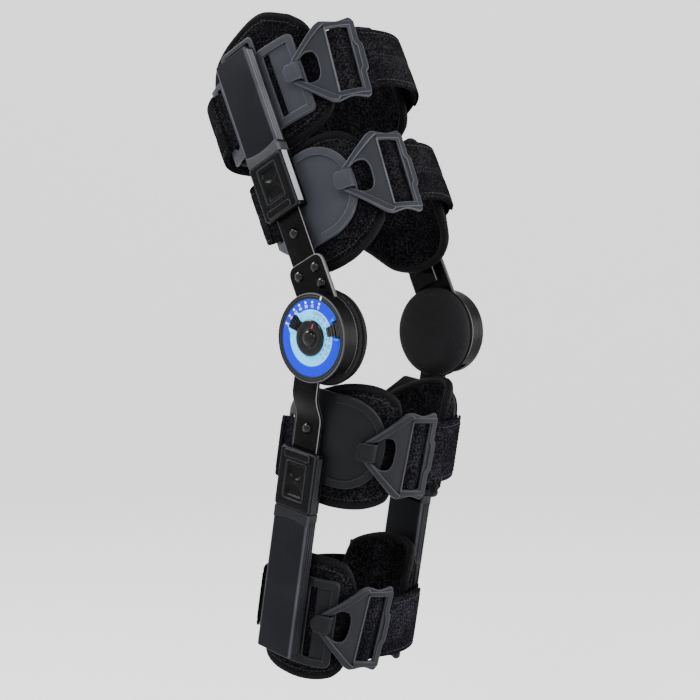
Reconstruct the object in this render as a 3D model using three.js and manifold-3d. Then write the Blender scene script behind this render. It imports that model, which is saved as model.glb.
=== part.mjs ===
// Hinged knee brace for a right leg, knee bent as worn. Millimetres, +Z up, +X forward,
// -Y the outer side of the leg, origin at the knee's centre on the hinge axis.
import * as THREE from 'three';
import { mergeVertices } from 'three/addons/utils/BufferGeometryUtils.js';
import Module from 'manifold-3d';

const wasm = await Module();
wasm.setup();

// Pose of the two leg segments about the hinge axis, in degrees
const THIGH_TILT = -25;
const CALF_TILT = 10.2;

// Distances outwards from the leg's middle plane, q = -y on the outer side
const GAP = 0.3;
const SKIN_HALF_WIDTH = 53;
const PAD_THICK = 8;
const SHELL_THICK = 2.7;
const STRAP_THICK = 2.2;
const SLEEVE_IN = 64.4;
const SLEEVE_OUT = 76.5;
const COLLAR_OUT = 77.3;
const BAR_IN = 67.5;
const BAR_THICK = 3;
const BAR_WIDTH = 26;
const HEAD_IN = 76.2;
const TONGUE_IN = 70.8;
const TONGUE_OUT = 74.6;
const CASE_FLOOR_IN = 79.5;
const CASE_FLOOR_OUT = 82.3;
const CASE_RIM_OUT = 86.4;
const DIAL_OUT = 86;
// The inner side's bars stand further out, because the straps pass under them
const INNER_SIDE_SHIFT = 2.6;

// Hinge radii
const CASE_R = 35;
const CASE_RECESS_R = 30.4;
const WALL_IN_R = 32.6;
const HEAD_R = 32;
const EXTENSION_R = 30;
const EXTENSION_BORE_R = 22.2;
const FLEXION_R = 21.9;
const HUB_R = 14.1;
const SHAFT_R = 8;
const DOME_R = 6;
const CASE_SIDES = 12;
const SHAFT_SIDES = 8;
const TURNED_SIDES = 14;
const CONDYLE_R = 37;
const CONDYLE_IN = 55;
const CONDYLE_OUT = 70.5;
const HUB_BACK_R = 29;
const HUB_DISC_HIGH = 2;
const HUB_DOME_HIGH = 4.8;
// Part of the case's side that is walled, degrees from forward: the calf bar swings through the rest
const CASE_WALL = { from: -75, to: 105 };
const TONGUE = { rear: -11, front: 27, low: 22, high: 62, round: 9, lowRound: 1 };
const TONGUE_RIVETS = [
  { name: 'rear', forward: -1, up: 52 }, { name: 'front', forward: 17.5, up: 52 },
  { name: 'low', forward: 18.5, up: 38 },
];
const RIVET = { radius: 4.2, high: 2.6, sides: 8 };
// Cut-outs in the dials for their tabs: inner radius, middle and half width in degrees, and the tab's height
const EXTENSION_CUT = { from: 24.6, middle: -10, half: 15, proud: 0.8 };
const FLEXION_CUT = { from: 15, middle: 120, half: 18, proud: 1.6 };
const TAB_PLAY = 2;

// Side bars: where they run, how far they reach and what slides on them
const SEGMENTS = {
  thigh: { tilt: THIGH_TILT, up: 1, barForward: 5, barStart: 40, barEnd: 215, rivet: 87,
    collar: [103.6, 151], sleeve: [151.4, 244], band: 7, button: 131 },
  calf: { tilt: CALF_TILT, up: -1, barForward: -5.5, barStart: 18, barEnd: 215, rivet: 74.4,
    collar: [91.7, 140], sleeve: [140.4, 259], band: 7, button: 117 },
};
const SLEEVE_WIDTH = 37;
const COLLAR_WIDTH = 38.4;
const SLEEVE_ROUND = 2.6;
const BORE_WIDTH = 27;
const BORE = [67, 71.2];
const BUTTON = { width: 19, height: 28, inner: 73.2, outer: 76.9 };
const DISH = { radius: 9, deep: 1.6, wide: 0.62, off: 0.2, sides: 16 };
const LIP = { width: 27, height: 6, proud: 1.8, inset: 1.4, round: 2.5 };
const CALF_JOG = { start: 47, end: 66 };
const BAR_ROUND = 4;
const BORE_ROUND = 0.4;

// Cuffs: depth of the leg there before and behind its middle, how far that sits forward, and the pad, shell,
// hook and strap places.
// Pad rows: distance forward round the leg from its outer side, and the pad's lower and upper edge.
const CUFFS = {
  thigh_end: {
    segment: 'thigh', frontDepth: 81, rearDepth: 62, forward: 1, end: true, loop: true,
    pad: [
      { s: -64, low: 192, high: 222 }, { s: -54, low: 176, high: 240 }, { s: -30, low: 163, high: 257 },
      { s: 0, low: 158, high: 266 }, { s: 35, low: 157, high: 270 }, { s: 60, low: 162, high: 257 },
      { s: 73, low: 172, high: 243 }, { s: 79, low: 190, high: 226 },
    ],
    shell: { rear: -46, front: 57, low: 171, high: 240, rearLow: 171, rearHigh: 240, round: 5 },
    frontSlot: { s: 29, width: 6, low: 177, high: 233 },
    hook: { s: 40.5, z: 205, lean: 5 }, strap: { front: 200, rear: 206, slot: 208 },
  },
  thigh_inner: {
    segment: 'thigh', frontDepth: 61, rearDepth: 56, forward: 13, end: false,
    pad: [
      { s: -56, low: 102, high: 126 }, { s: -46, low: 88, high: 139 }, { s: -25, low: 62, high: 147 },
      { s: 0, low: 50, high: 150 }, { s: 30, low: 49, high: 153 }, { s: 52, low: 57, high: 150 },
      { s: 68, low: 70, high: 140 }, { s: 77, low: 90, high: 122 },
    ],
    shell: { rear: -44, front: 55, low: 70, high: 145, rearLow: 88, rearHigh: 147, round: 34 },
    hook: { s: 38.5, z: 106, lean: 4 }, strap: { front: 104, rear: 146, slot: 118 },
  },
  calf_inner: {
    segment: 'calf', frontDepth: 53, rearDepth: 49, forward: -1.5, end: false,
    pad: [
      { s: -56, low: -114, high: -90 }, { s: -45, low: -127, high: -71 }, { s: -22, low: -131, high: -53 },
      { s: 0, low: -133, high: -42 }, { s: 25, low: -133, high: -34 }, { s: 50, low: -130, high: -33 },
      { s: 70, low: -122, high: -42 }, { s: 80, low: -104, high: -60 },
    ],
    shell: { rear: -44, front: 61, low: -116, high: -42, rearLow: -128, rearHigh: -67, round: 34 },
    hook: { s: 39, z: -81, lean: 3 }, strap: { front: -83, rear: -118, slot: -98 },
  },
  calf_end: {
    segment: 'calf', frontDepth: 43, rearDepth: 39, forward: -8, end: true,
    pad: [
      { s: -50, low: -254, high: -209 }, { s: -40, low: -268, high: -192 }, { s: -20, low: -276, high: -183 },
      { s: 0, low: -279, high: -178 }, { s: 25, low: -279, high: -177 }, { s: 48, low: -275, high: -181 },
      { s: 61, low: -264, high: -197 }, { s: 66, low: -246, high: -216 },
    ],
    shell: { rear: -42, front: 45, low: -266, high: -193, rearLow: -266, rearHigh: -193, round: 5 },
    frontSlot: { s: 24, width: 6, low: -259, high: -200 },
    hook: { s: 27, z: -226, lean: 6 }, strap: { front: -234, rear: -232, slot: -229 },
  },
};
const RING_POWER = 2.5;
const SHELL_WAIST = 0.45;
const SHELL_LEAST_ROUND = 1.5;
const SHELL_END_COLUMNS = [0.5, 0.8, 1];
const SHELL_END_TRIM = 0.99;
const RIM = { inset: 0.5, width: 6.5, proud: 1.7, clearOfSleeve: 1.5 };
const LOOP = { rear: -17, front: 21, foot: 3, high: 16, side: 4, slot: [5, 12] };
const BOSS_R = 6;
const REAR_SLOT = { s: -33, width: 7.4, height: 55 };
const STRAP_WIDTH = 50;
const STRAP_TUCK = { drop: 2.6, play: 0.6, seat: 0.3 };
const PAD_EDGE = 0.55;
const PAD_ROWS = [
  { part: 0, thick: PAD_EDGE }, { part: 0.09, thick: 1 }, { part: 0.91, thick: 1 },
  { part: 1, thick: PAD_EDGE },
];
const SHELL_IN = PAD_THICK + GAP;
const SHELL_OUT = SHELL_IN + SHELL_THICK;
const STRAP_IN = SHELL_OUT + 0.4;

// Hook and buckle, measured along the buckle from the hook's tip, across it from its middle line
const HOOK = { length: 16, post: 11, half: 6.2, lipIn: 17.2, lipOut: 19.6, round: 2, postInset: 0.5 };
const BUCKLE = { inner: 13.4, outer: 16.8, ridge: 1.5, slotStart: 40, slotEnd: 57, slotHalf: 27, barEnd: 63 };
const BUCKLE_SIDE = [
  { along: 5.6, across: 7.4 }, { along: 32, across: 33 }, { along: 37, across: 35 }, { along: 49, across: 32 },
  { along: 60, across: 35.5 }, { along: 63, across: 33 }, { along: 61, across: 12 }, { along: 63.5, across: 8 },
];
const BUCKLE_EYE = [
  { along: 10.7, across: 7 }, { along: 19, across: 11.5 }, { along: 24, across: 10.5 },
  { along: 26, across: 6 },
];
const BUCKLE_ARM = [
  { along: 6, across: 7.2 }, { along: 32, across: 32.6 }, { along: 37, across: 34.5 },
  { along: 39.4, across: 31 }, { along: 35, across: 28.5 }, { along: 13, across: 8.6 },
];
// All pieces of a cuff bend along the same columns, this far apart round the leg
const BEND_STEP = 13;
// How far joined solids run into each other, and how far a cutter passes a face
const LAP = 0.6;
const OVERSHOOT = 2;

// Finishes
const FINISH = {
  sleeve: { color: 0x26282b, roughness: 0.62, metalness: 0 },
  collar: { color: 0x131416, roughness: 0.3, metalness: 0 },
  bar: { color: 0x0b0b0d, roughness: 0.22, metalness: 0.5 },
  shell: { color: 0x3a3d44, roughness: 0.5, metalness: 0 },
  buckle: { color: 0x44464d, roughness: 0.45, metalness: 0 },
  foam: { color: 0x101012, roughness: 0.95, metalness: 0 },
  velour: { color: 0x0c0c0e, roughness: 1, metalness: 0 },
  blue: { color: 0x0a5af5, roughness: 0.35, metalness: 0 },
  paleBlue: { color: 0x87d7fa, roughness: 0.35, metalness: 0 },
  tab: { color: 0x121214, roughness: 0.4, metalness: 0 },
};

const rad = THREE.MathUtils.degToRad;

// Solid helpers

function bare(geometry) {
  const copy = geometry.index ? geometry : geometry.clone();
  copy.deleteAttribute('normal');
  copy.deleteAttribute('uv');
  return mergeVertices(copy, 1e-4);
}

function toSolid(geometry) {
  const merged = bare(geometry);
  return new wasm.Manifold(new wasm.Mesh({
    numProp: 3,
    vertProperties: new Float32Array(merged.attributes.position.array),
    triVerts: new Uint32Array(merged.index.array),
  }));
}

function toGeometry(solid) {
  const mesh = solid.getMesh();
  const geometry = new THREE.BufferGeometry();
  geometry.setAttribute('position', new THREE.BufferAttribute(new Float32Array(mesh.vertProperties), 3));
  geometry.setIndex(new THREE.BufferAttribute(new Uint32Array(mesh.triVerts), 1));
  return geometry;
}

function join(...geometries) {
  return toGeometry(geometries.map(toSolid).reduce((whole, next) => whole.add(next)));
}

function cut(geometry, ...tools) {
  return toGeometry(tools.map(toSolid).reduce((left, tool) => left.subtract(tool), toSolid(geometry)));
}

// Mirror image across the leg's middle plane, moved out by a given distance
function toInnerSide(geometry, shift = INNER_SIDE_SHIFT) {
  const copy = bare(geometry.clone()).scale(1, -1, 1).translate(0, shift, 0);
  const index = copy.index.array;
  for (let i = 0; i < index.length; i += 3) {
    [index[i], index[i + 1]] = [index[i + 1], index[i]];
  }
  return copy;
}

// Flat plate lying against the leg's outer side: a shape in (forward, up) between two distances out
function sidePlate(shape, inner, outer, curveSegments = 5) {
  const plate = new THREE.ExtrudeGeometry(shape, { depth: outer - inner, bevelEnabled: false, curveSegments });
  return plate.rotateX(Math.PI / 2).translate(0, -inner, 0);
}

function sideBox(forward, up, inner, outer) {
  const box = new THREE.BoxGeometry(forward[1] - forward[0], outer - inner, up[1] - up[0]);
  return box.translate((forward[0] + forward[1]) / 2, -(inner + outer) / 2, (up[0] + up[1]) / 2);
}

// Closed polygon with its corners rounded
function roundedShape(points, radii) {
  const shape = new THREE.Shape();
  points.forEach(([x, y], i) => {
    const before = new THREE.Vector2(...points[(i + points.length - 1) % points.length]);
    const after = new THREE.Vector2(...points[(i + 1) % points.length]);
    const corner = new THREE.Vector2(x, y);
    const start = corner.clone().lerp(before, radii[i] / corner.distanceTo(before));
    const end = corner.clone().lerp(after, radii[i] / corner.distanceTo(after));
    if (i === 0) shape.moveTo(start.x, start.y);
    else shape.lineTo(start.x, start.y);
    shape.quadraticCurveTo(x, y, end.x, end.y);
  });
  shape.closePath();
  return shape;
}

function rectangle(forward, up, radius) {
  const points = [[forward[0], up[0]], [forward[1], up[0]], [forward[1], up[1]], [forward[0], up[1]]];
  return roundedShape(points, points.map(() => radius));
}

function disc(radius, bore = 0) {
  const shape = new THREE.Shape().absarc(0, 0, radius, 0, 2 * Math.PI, false);
  if (bore) shape.holes.push(new THREE.Path().absarc(0, 0, bore, 0, 2 * Math.PI, true));
  return shape;
}

function sector(inner, outer, from, to) {
  const shape = new THREE.Shape();
  shape.absarc(0, 0, outer, rad(from), rad(to), false);
  shape.absarc(0, 0, inner, rad(to), rad(from), true);
  shape.closePath();
  return shape;
}

// Body of revolution about the hinge axis from (radius, distance out) points
function turned(profile, sides) {
  const points = profile.map(([radius, out]) => new THREE.Vector2(radius, out));
  return new THREE.LatheGeometry(points, sides).rotateX(Math.PI);
}

// Cuff surfaces

// A cuff's cross-section is a rounded oval. s is the distance round it at the shell's outer face, forward
// from the leg's outer side, and r is the distance out from the skin.
class Ring {
  constructor({ frontDepth, rearDepth, forward }) {
    this.frontDepth = frontDepth;
    this.rearDepth = rearDepth;
    this.forward = forward;
    this.steps = 720;
    this.lengths = [0];
    for (let i = 1; i <= this.steps; i += 1) {
      const a = this.atAngle((i - 1) / this.steps, SHELL_OUT);
      const b = this.atAngle(i / this.steps, SHELL_OUT);
      this.lengths.push(this.lengths[i - 1] + Math.hypot(b[0] - a[0], b[1] - a[1]));
    }
    this.round = this.lengths[this.steps];
  }

  atAngle(turn, r) {
    const angle = 2 * Math.PI * turn;
    const bulge = (value) => Math.sign(value) * Math.abs(value) ** (2 / RING_POWER);
    const depth = Math.sin(angle) < 0 ? this.rearDepth : this.frontDepth;
    const x = this.forward + (depth + r) * bulge(Math.sin(angle));
    return [x, -(SKIN_HALF_WIDTH + r) * bulge(Math.cos(angle))];
  }

  point(s, r) {
    const distance = ((s % this.round) + this.round) % this.round;
    let low = 0;
    let high = this.steps;
    while (high - low > 1) {
      const middle = (low + high) >> 1;
      if (this.lengths[middle] <= distance) low = middle;
      else high = middle;
    }
    const part = (distance - this.lengths[low]) / (this.lengths[high] - this.lengths[low]);
    return this.atAngle((low + part) / this.steps, r);
  }
}

// Split a flat solid's faces at even columns round the leg, so that it can bend along them
function splitAtColumns(geometry, step) {
  const points = Array.from(geometry.attributes.position.array);
  let faces = Array.from(geometry.index.array);
  const across = points.filter((_, i) => i % 3 === 0);
  const first = Math.ceil(across.reduce((a, b) => Math.min(a, b)) / step);
  const last = Math.floor(across.reduce((a, b) => Math.max(a, b)) / step);
  for (let column = first; column <= last; column += 1) {
    const crossings = new Map();
    const side = (a) => {
      const offset = points[3 * a] - column * step;
      return Math.abs(offset) < 1e-3 ? 0 : Math.sign(offset);
    };
    const crossing = (a, b) => {
      if (side(a) * side(b) >= 0) return -1;
      const key = a < b ? `${a},${b}` : `${b},${a}`;
      if (!crossings.has(key)) {
        const part = (column * step - points[3 * a]) / (points[3 * b] - points[3 * a]);
        crossings.set(key, points.length / 3);
        for (let k = 0; k < 3; k += 1) {
          points.push(points[3 * a + k] + (points[3 * b + k] - points[3 * a + k]) * part);
        }
      }
      return crossings.get(key);
    };
    const next = [];
    for (let i = 0; i < faces.length; i += 3) {
      const corner = [faces[i], faces[i + 1], faces[i + 2]];
      const mid = corner.map((a, k) => crossing(a, corner[(k + 1) % 3]));
      const split = mid.filter((m) => m >= 0).length;
      const whole = mid.findIndex((m) => m < 0);
      const halved = Math.max(mid.findIndex((m) => m >= 0), 0);
      const turn = split === 2 ? (whole + 1) % 3 : halved;
      const [a, b, c] = [0, 1, 2].map((k) => corner[(turn + k) % 3]);
      const [ab, bc] = [0, 1].map((k) => mid[(turn + k) % 3]);
      if (split === 0) next.push(a, b, c);
      else if (split === 1) next.push(a, ab, c, ab, b, c);
      else next.push(ab, b, bc, a, ab, bc, a, bc, c);
    }
    faces = next;
  }
  const result = new THREE.BufferGeometry();
  result.setAttribute('position', new THREE.BufferAttribute(new Float32Array(points), 3));
  result.setIndex(faces);
  return result;
}

// Bend a solid drawn flat, x round the leg, -y out from the skin, z along the leg
function bend(ring, geometry) {
  const bent = splitAtColumns(bare(geometry), BEND_STEP);
  const position = bent.attributes.position;
  for (let i = 0; i < position.count; i += 1) {
    const [x, y] = ring.point(position.getX(i), -position.getY(i));
    position.setXYZ(i, x, y, position.getZ(i));
  }
  return bent;
}

// Closed wall of columns round the leg. A column gives s, its rows across give z and inner and outer r.
function wrappedWall(ring, columns) {
  const rows = columns[0].rows.length;
  const points = [];
  const faces = [];
  const id = (i, j, side) => (i * rows + j) * 2 + side;
  const quad = (a, b, c, d) => faces.push(a, b, c, a, c, d);
  columns.forEach(({ s, rows: across }) => across.forEach(({ z, inner, outer }) => {
    points.push(...ring.point(s, inner), z, ...ring.point(s, outer), z);
  }));
  const last = columns.length - 1;
  for (let i = 0; i < last; i += 1) {
    for (let j = 0; j < rows - 1; j += 1) {
      quad(id(i, j, 1), id(i + 1, j, 1), id(i + 1, j + 1, 1), id(i, j + 1, 1));
      quad(id(i, j, 0), id(i, j + 1, 0), id(i + 1, j + 1, 0), id(i + 1, j, 0));
    }
    quad(id(i, 0, 0), id(i + 1, 0, 0), id(i + 1, 0, 1), id(i, 0, 1));
    quad(id(i, rows - 1, 1), id(i + 1, rows - 1, 1), id(i + 1, rows - 1, 0), id(i, rows - 1, 0));
  }
  for (let j = 0; j < rows - 1; j += 1) {
    quad(id(0, j, 0), id(0, j, 1), id(0, j + 1, 1), id(0, j + 1, 0));
    quad(id(last, j, 1), id(last, j, 0), id(last, j + 1, 0), id(last, j + 1, 1));
  }
  const geometry = new THREE.BufferGeometry();
  geometry.setAttribute('position', new THREE.BufferAttribute(new Float32Array(points), 3));
  geometry.setIndex(faces);
  return geometry;
}

// Smooth value between table rows
function between(rows, s, field) {
  const curve = new THREE.SplineCurve(rows.map((row) => new THREE.Vector2(row.s, row[field])));
  let i = 0;
  while (i < rows.length - 2 && s > rows[i + 1].s) i += 1;
  const part = (s - rows[i].s) / (rows[i + 1].s - rows[i].s);
  return curve.getPoint((i + part) / (rows.length - 1)).y;
}

// Pieces of a cuff

// Columns from one place to another round the leg, on the cuff's common columns between
function columnsBetween(from, to, origin = 0) {
  const places = [from];
  const first = Math.floor((from - origin) / BEND_STEP) + 1;
  for (let s = origin + first * BEND_STEP; s < to - 1; s += BEND_STEP) {
    if (s > from + 1) places.push(s);
  }
  return [...places, to];
}

// Foam pad, thinned to a bound edge all round
function padGeometry(cuff, ring) {
  const first = cuff.pad[0].s;
  const last = cuff.pad[cuff.pad.length - 1].s;
  const columns = columnsBetween(first, last).map((s) => {
    const low = between(cuff.pad, s, 'low');
    const high = between(cuff.pad, s, 'high');
    const ends = s === first || s === last ? PAD_EDGE : 1;
    return { s, rows: PAD_ROWS.map(({ part, thick }) => (
      { z: low + (high - low) * part, inner: 0, outer: PAD_THICK * Math.min(thick, ends) })) };
  });
  return wrappedWall(ring, columns);
}

// Bent plate with a shell's outline, set in from its edges, from a starting place round the leg
function shellWall(ring, shell, { from = shell.rear, inset = 0, inner = SHELL_IN, outer = SHELL_OUT }) {
  const { rear, front, low, high, rearLow, rearHigh } = shell;
  const round = Math.max(shell.round - inset, SHELL_LEAST_ROUND);
  const waist = rear * SHELL_WAIST;
  const end = front - inset;
  const curve = SHELL_END_COLUMNS.map((part) => end - round + round * part * SHELL_END_TRIM);
  const places = [...columnsBetween(from, curve[curve.length - 1]), ...curve].sort((a, b) => a - b);
  const columns = places.filter((s, i) => i === 0 || s - places[i - 1] > 0.5).map((s) => {
    const near = Math.max(s - (end - round), 0) / round;
    const curl = inset + round * (1 - Math.sqrt(1 - near * near));
    const back = Math.min(Math.max((waist - s) / (waist - rear), 0), 1);
    const edges = [low + (rearLow - low) * back + curl, high + (rearHigh - high) * back - curl];
    return { s, rows: edges.map((z) => ({ z, inner, outer })) };
  });
  return wrappedWall(ring, columns);
}

// Raised border round the part of a shell that shows in front of the sleeve
function shellBorder(ring, shell, start) {
  const top = SHELL_OUT + RIM.proud;
  const raised = shellWall(ring, shell, { from: start, inset: RIM.inset, inner: SHELL_OUT - LAP, outer: top });
  const panel = shellWall(ring, shell, { from: start + RIM.width, inset: RIM.width,
    inner: SHELL_OUT - OVERSHOOT, outer: top + OVERSHOOT });
  return cut(raised, panel);
}

// Hook drawn flat: a post with a lip that points back over the buckle's crossbar
function hookGeometry({ s, z, lean }) {
  const outline = rectangle([0, HOOK.length], [-HOOK.half, HOOK.half], HOOK.round);
  const lip = sidePlate(outline, HOOK.lipIn, HOOK.lipOut, 2);
  const half = HOOK.half - HOOK.postInset;
  const post = sideBox([HOOK.post, HOOK.length - HOOK.postInset], [-half, half], SHELL_OUT - 1, HOOK.lipIn + 1);
  return join(lip, post).rotateY(rad(lean)).translate(s, 0, z);
}

function outerShellGeometry(cuff, ring) {
  const { shell, hook, strap } = cuff;
  const bar = SEGMENTS[cuff.segment];
  const sleeveFront = bar.barForward + COLLAR_WIDTH / 2 - cuff.forward;
  const deep = [SHELL_IN - OVERSHOOT, SHELL_OUT + RIM.proud + OVERSHOOT];
  const slot = (middle, width, low, high) => bend(ring,
    sideBox([middle - width / 2, middle + width / 2], [low, high], ...deep));
  const border = shellBorder(ring, shell, sleeveFront + RIM.clearOfSleeve);
  const rearHalf = REAR_SLOT.height / 2;
  let plate = join(shellWall(ring, shell, {}), border, bend(ring, hookGeometry(hook)));
  plate = cut(plate, slot(REAR_SLOT.s, REAR_SLOT.width, strap.slot - rearHalf, strap.slot + rearHalf));
  if (cuff.end) {
    const { s, width, low, high } = cuff.frontSlot;
    plate = cut(plate, slot(s, width, low, high));
  } else {
    plate = join(plate, bend(ring, bossGeometry(bar.barForward - cuff.forward, bar.up * bar.rivet)));
  }
  return cuff.loop ? join(plate, bend(ring, loopGeometry(shell.high))) : plate;
}

// Boss that carries an inner shell on its bar
function bossGeometry(s, z) {
  const top = BAR_IN - SKIN_HALF_WIDTH - GAP;
  return sidePlate(disc(BOSS_R), SHELL_OUT - 1, top, 4).translate(s, 0, z);
}

// Open loop that stands above the sleeve's end
function loopGeometry(top) {
  const { rear, front, foot, high, side, slot } = LOOP;
  const frame = sideBox([rear, front], [top - foot, top + high], SHELL_IN, SHELL_OUT);
  const gap = [top + slot[0], top + slot[1]];
  return cut(frame, sideBox([rear + side, front - side], gap, SHELL_IN - OVERSHOOT, SHELL_OUT + OVERSHOOT));
}

function buckleGeometry(cuff, ring) {
  const both = (side) => [...side.map(({ along, across }) => [along, -across]),
    ...side.map(({ along, across }) => [along, across]).reverse()];
  const outline = new THREE.Shape(both(BUCKLE_SIDE).map((p) => new THREE.Vector2(...p)));
  const eye = new THREE.Path(both(BUCKLE_EYE).reverse().map((p) => new THREE.Vector2(...p)));
  const slot = new THREE.Path([[BUCKLE.slotStart, -BUCKLE.slotHalf], [BUCKLE.slotStart, BUCKLE.slotHalf],
    [BUCKLE.slotEnd, BUCKLE.slotHalf], [BUCKLE.slotEnd, -BUCKLE.slotHalf]].map((p) => new THREE.Vector2(...p)));
  outline.holes.push(eye, slot);
  const arms = [1, -1].map((side) => {
    const points = BUCKLE_ARM.map(({ along, across }) => new THREE.Vector2(along, side * across));
    return sidePlate(new THREE.Shape(points), BUCKLE.outer - LAP, BUCKLE.outer + BUCKLE.ridge);
  });
  const flat = join(sidePlate(outline, BUCKLE.inner, BUCKLE.outer, 1), ...arms);
  return bend(ring, flat.rotateY(rad(cuff.hook.lean)).translate(cuff.hook.s, 0, cuff.hook.z));
}

// Strap: doubled from the buckle's slot round the front, single over the inner side and the back,
// and tucked into the outer shell's rear slot
function strapGeometry(cuff, ring) {
  const { hook, strap } = cuff;
  const start = hook.s + BUCKLE.slotStart + 1.2;
  const bar = hook.s + BUCKLE.barEnd;
  const doubled = 2 * STRAP_THICK - 1;
  const tuck = ring.round + REAR_SLOT.s;
  const half = ring.round / 2;
  const slotEdge = tuck - REAR_SLOT.width / 2;
  const over = { inner: STRAP_IN, outer: STRAP_IN + STRAP_THICK };
  const under = { inner: BUCKLE.inner - GAP - doubled, outer: BUCKLE.inner - GAP };
  const stations = [{ s: start, ...under }, { s: (start + bar) / 2, ...under }, { s: bar + 4, ...under }];
  const rear = half * 1.5;
  const { shell } = cuff;
  const round = [...columnsBetween(bar + 16, rear, half), half - shell.front + 0.4, half - shell.rear,
    ...columnsBetween(rear + 8, slotEdge - 1, ring.round), ring.round + shell.rear].sort((a, b) => a - b);
  round.filter((s, i) => i === 0 || s - round[i - 1] > 0.8).forEach((s) => stations.push({ s, ...over }));
  const { drop, play, seat } = STRAP_TUCK;
  const tucked = (s, inner) => ({ s, inner, outer: inner + STRAP_THICK });
  stations.push({ s: slotEdge + play, ...over });
  stations.push(tucked(slotEdge + drop, SHELL_IN + play));
  stations.push(tucked(slotEdge + REAR_SLOT.width - play, SHELL_IN + seat));
  const height = [{ s: start, z: strap.front }, { s: half * 0.82, z: strap.front }, { s: rear, z: strap.rear },
    { s: tuck, z: strap.slot }];
  const ease = (t) => t * t * (3 - 2 * t);
  const middle = (s) => {
    const i = Math.min(Math.max(height.findIndex((row) => row.s > s) - 1, 0), height.length - 2);
    const index = s >= height[height.length - 1].s ? height.length - 2 : i;
    const part = Math.min(Math.max((s - height[index].s) / (height[index + 1].s - height[index].s), 0), 1);
    return height[index].z + (height[index + 1].z - height[index].z) * ease(part);
  };
  const columns = stations.map(({ s, inner, outer }) => ({
    s, rows: [-1, 1].map((side) => ({ z: middle(s) + (side * STRAP_WIDTH) / 2, inner, outer })),
  }));
  return wrappedWall(ring, columns);
}

// Pieces of the side frames

// Rectangular sleeve with a slot for the bar right through it
function tubeGeometry(middle, width, outer, from, to) {
  const outline = rectangle([middle - width / 2, middle + width / 2], [-outer, -SLEEVE_IN], SLEEVE_ROUND);
  const half = BORE_WIDTH / 2;
  const bore = rectangle([middle - half, middle + half], [-BORE[1], -BORE[0]], BORE_ROUND);
  outline.holes.push(new THREE.Path(bore.getPoints(1).reverse()));
  const tube = new THREE.ExtrudeGeometry(outline, { depth: to - from, bevelEnabled: false, curveSegments: 2 });
  return tube.translate(0, 0, from);
}

function spanUp(segment, [near, far]) {
  return segment.up > 0 ? [near, far] : [-far, -near];
}

function sleeveGeometry(segment) {
  const { barForward, band } = segment;
  const [near, far] = segment.sleeve;
  const body = tubeGeometry(barForward, SLEEVE_WIDTH, SLEEVE_OUT, ...spanUp(segment, [near + band - LAP, far]));
  const rim = tubeGeometry(barForward, COLLAR_WIDTH, COLLAR_OUT - GAP, ...spanUp(segment, [near, near + band]));
  return join(body, rim);
}

// Collar with a window for the push button and a rounded lip at its end
function collarGeometry(segment, withButton) {
  const { barForward, up, button } = segment;
  const [near] = segment.collar;
  const body = tubeGeometry(barForward, COLLAR_WIDTH, COLLAR_OUT, ...spanUp(segment, segment.collar));
  const lipSpan = spanUp(segment, [near + LIP.inset, near + LIP.inset + LIP.height]);
  const lipAcross = [barForward - LIP.width / 2, barForward + LIP.width / 2];
  const lip = sidePlate(rectangle(lipAcross, lipSpan, LIP.round), COLLAR_OUT - LAP, COLLAR_OUT + LIP.proud, 3);
  const collar = join(body, lip);
  if (!withButton) return collar;
  const halfWidth = BUTTON.width / 2 + GAP;
  const halfHeight = BUTTON.height / 2 + GAP;
  return cut(collar, sideBox([barForward - halfWidth, barForward + halfWidth],
    [up * button - halfHeight, up * button + halfHeight], BORE[1] - LAP, COLLAR_OUT + OVERSHOOT));
}

// Push button with a saddle-shaped finger dish
function buttonGeometry(segment) {
  const { width, height, inner, outer } = BUTTON;
  const { radius, deep, wide, off, sides } = DISH;
  const block = sideBox([-width / 2, width / 2], [-height / 2, height / 2], inner, outer);
  const dish = (side) => {
    const roll = new THREE.CylinderGeometry(radius, radius, width * wide, sides).rotateZ(Math.PI / 2);
    return roll.translate(0, -(outer + radius - deep), side * height * off);
  };
  return cut(block, dish(1), dish(-1)).translate(segment.barForward, 0, segment.up * segment.button);
}

function thighBarGeometry({ barForward, barStart, barEnd }) {
  const across = [barForward - BAR_WIDTH / 2, barForward + BAR_WIDTH / 2];
  const outline = rectangle(across, [barStart, barEnd], BAR_ROUND);
  return sidePlate(outline, BAR_IN, BAR_IN + BAR_THICK, 3);
}

// Calf bar: a round head on the hinge, a jog inwards and a straight run into the sleeve
function calfBarGeometry({ barForward, barStart, barEnd }) {
  const out = HEAD_IN + BAR_THICK;
  const profile = new THREE.Shape([[-HEAD_IN, -barStart], [-out, -barStart], [-out, -CALF_JOG.start],
    [-BAR_IN - BAR_THICK, -CALF_JOG.end], [-BAR_IN - BAR_THICK, -barEnd], [-BAR_IN, -barEnd],
    [-BAR_IN, -CALF_JOG.end - 1], [-HEAD_IN, -CALF_JOG.start - 1]].map(([y, z]) => new THREE.Vector2(y, z)));
  const strip = new THREE.ExtrudeGeometry(profile, { depth: BAR_WIDTH, bevelEnabled: false });
  const rear = barForward - BAR_WIDTH / 2;
  strip.applyMatrix4(new THREE.Matrix4().set(0, 0, 1, rear, 1, 0, 0, 0, 0, 1, 0, 0, 0, 0, 0, 1));
  const head = sidePlate(disc(HEAD_R), HEAD_IN, out, 12);
  const bore = sidePlate(disc(SHAFT_R + GAP), HEAD_IN - 1, out + 1, SHAFT_SIDES);
  return cut(join(strip, head), bore);
}

// Domed rivet head lying on a plate
function rivetGeometry(forward, up, seat) {
  const { radius, high, sides } = RIVET;
  const profile = [[0, 0], [radius, 0], [radius * 0.94, high * 0.45], [radius * 0.62, high * 0.86], [0, high]];
  return turned(profile.map(([r, out]) => [r, seat + GAP + out]), sides).translate(forward, 0, up);
}

// Pieces of the hinge

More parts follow.
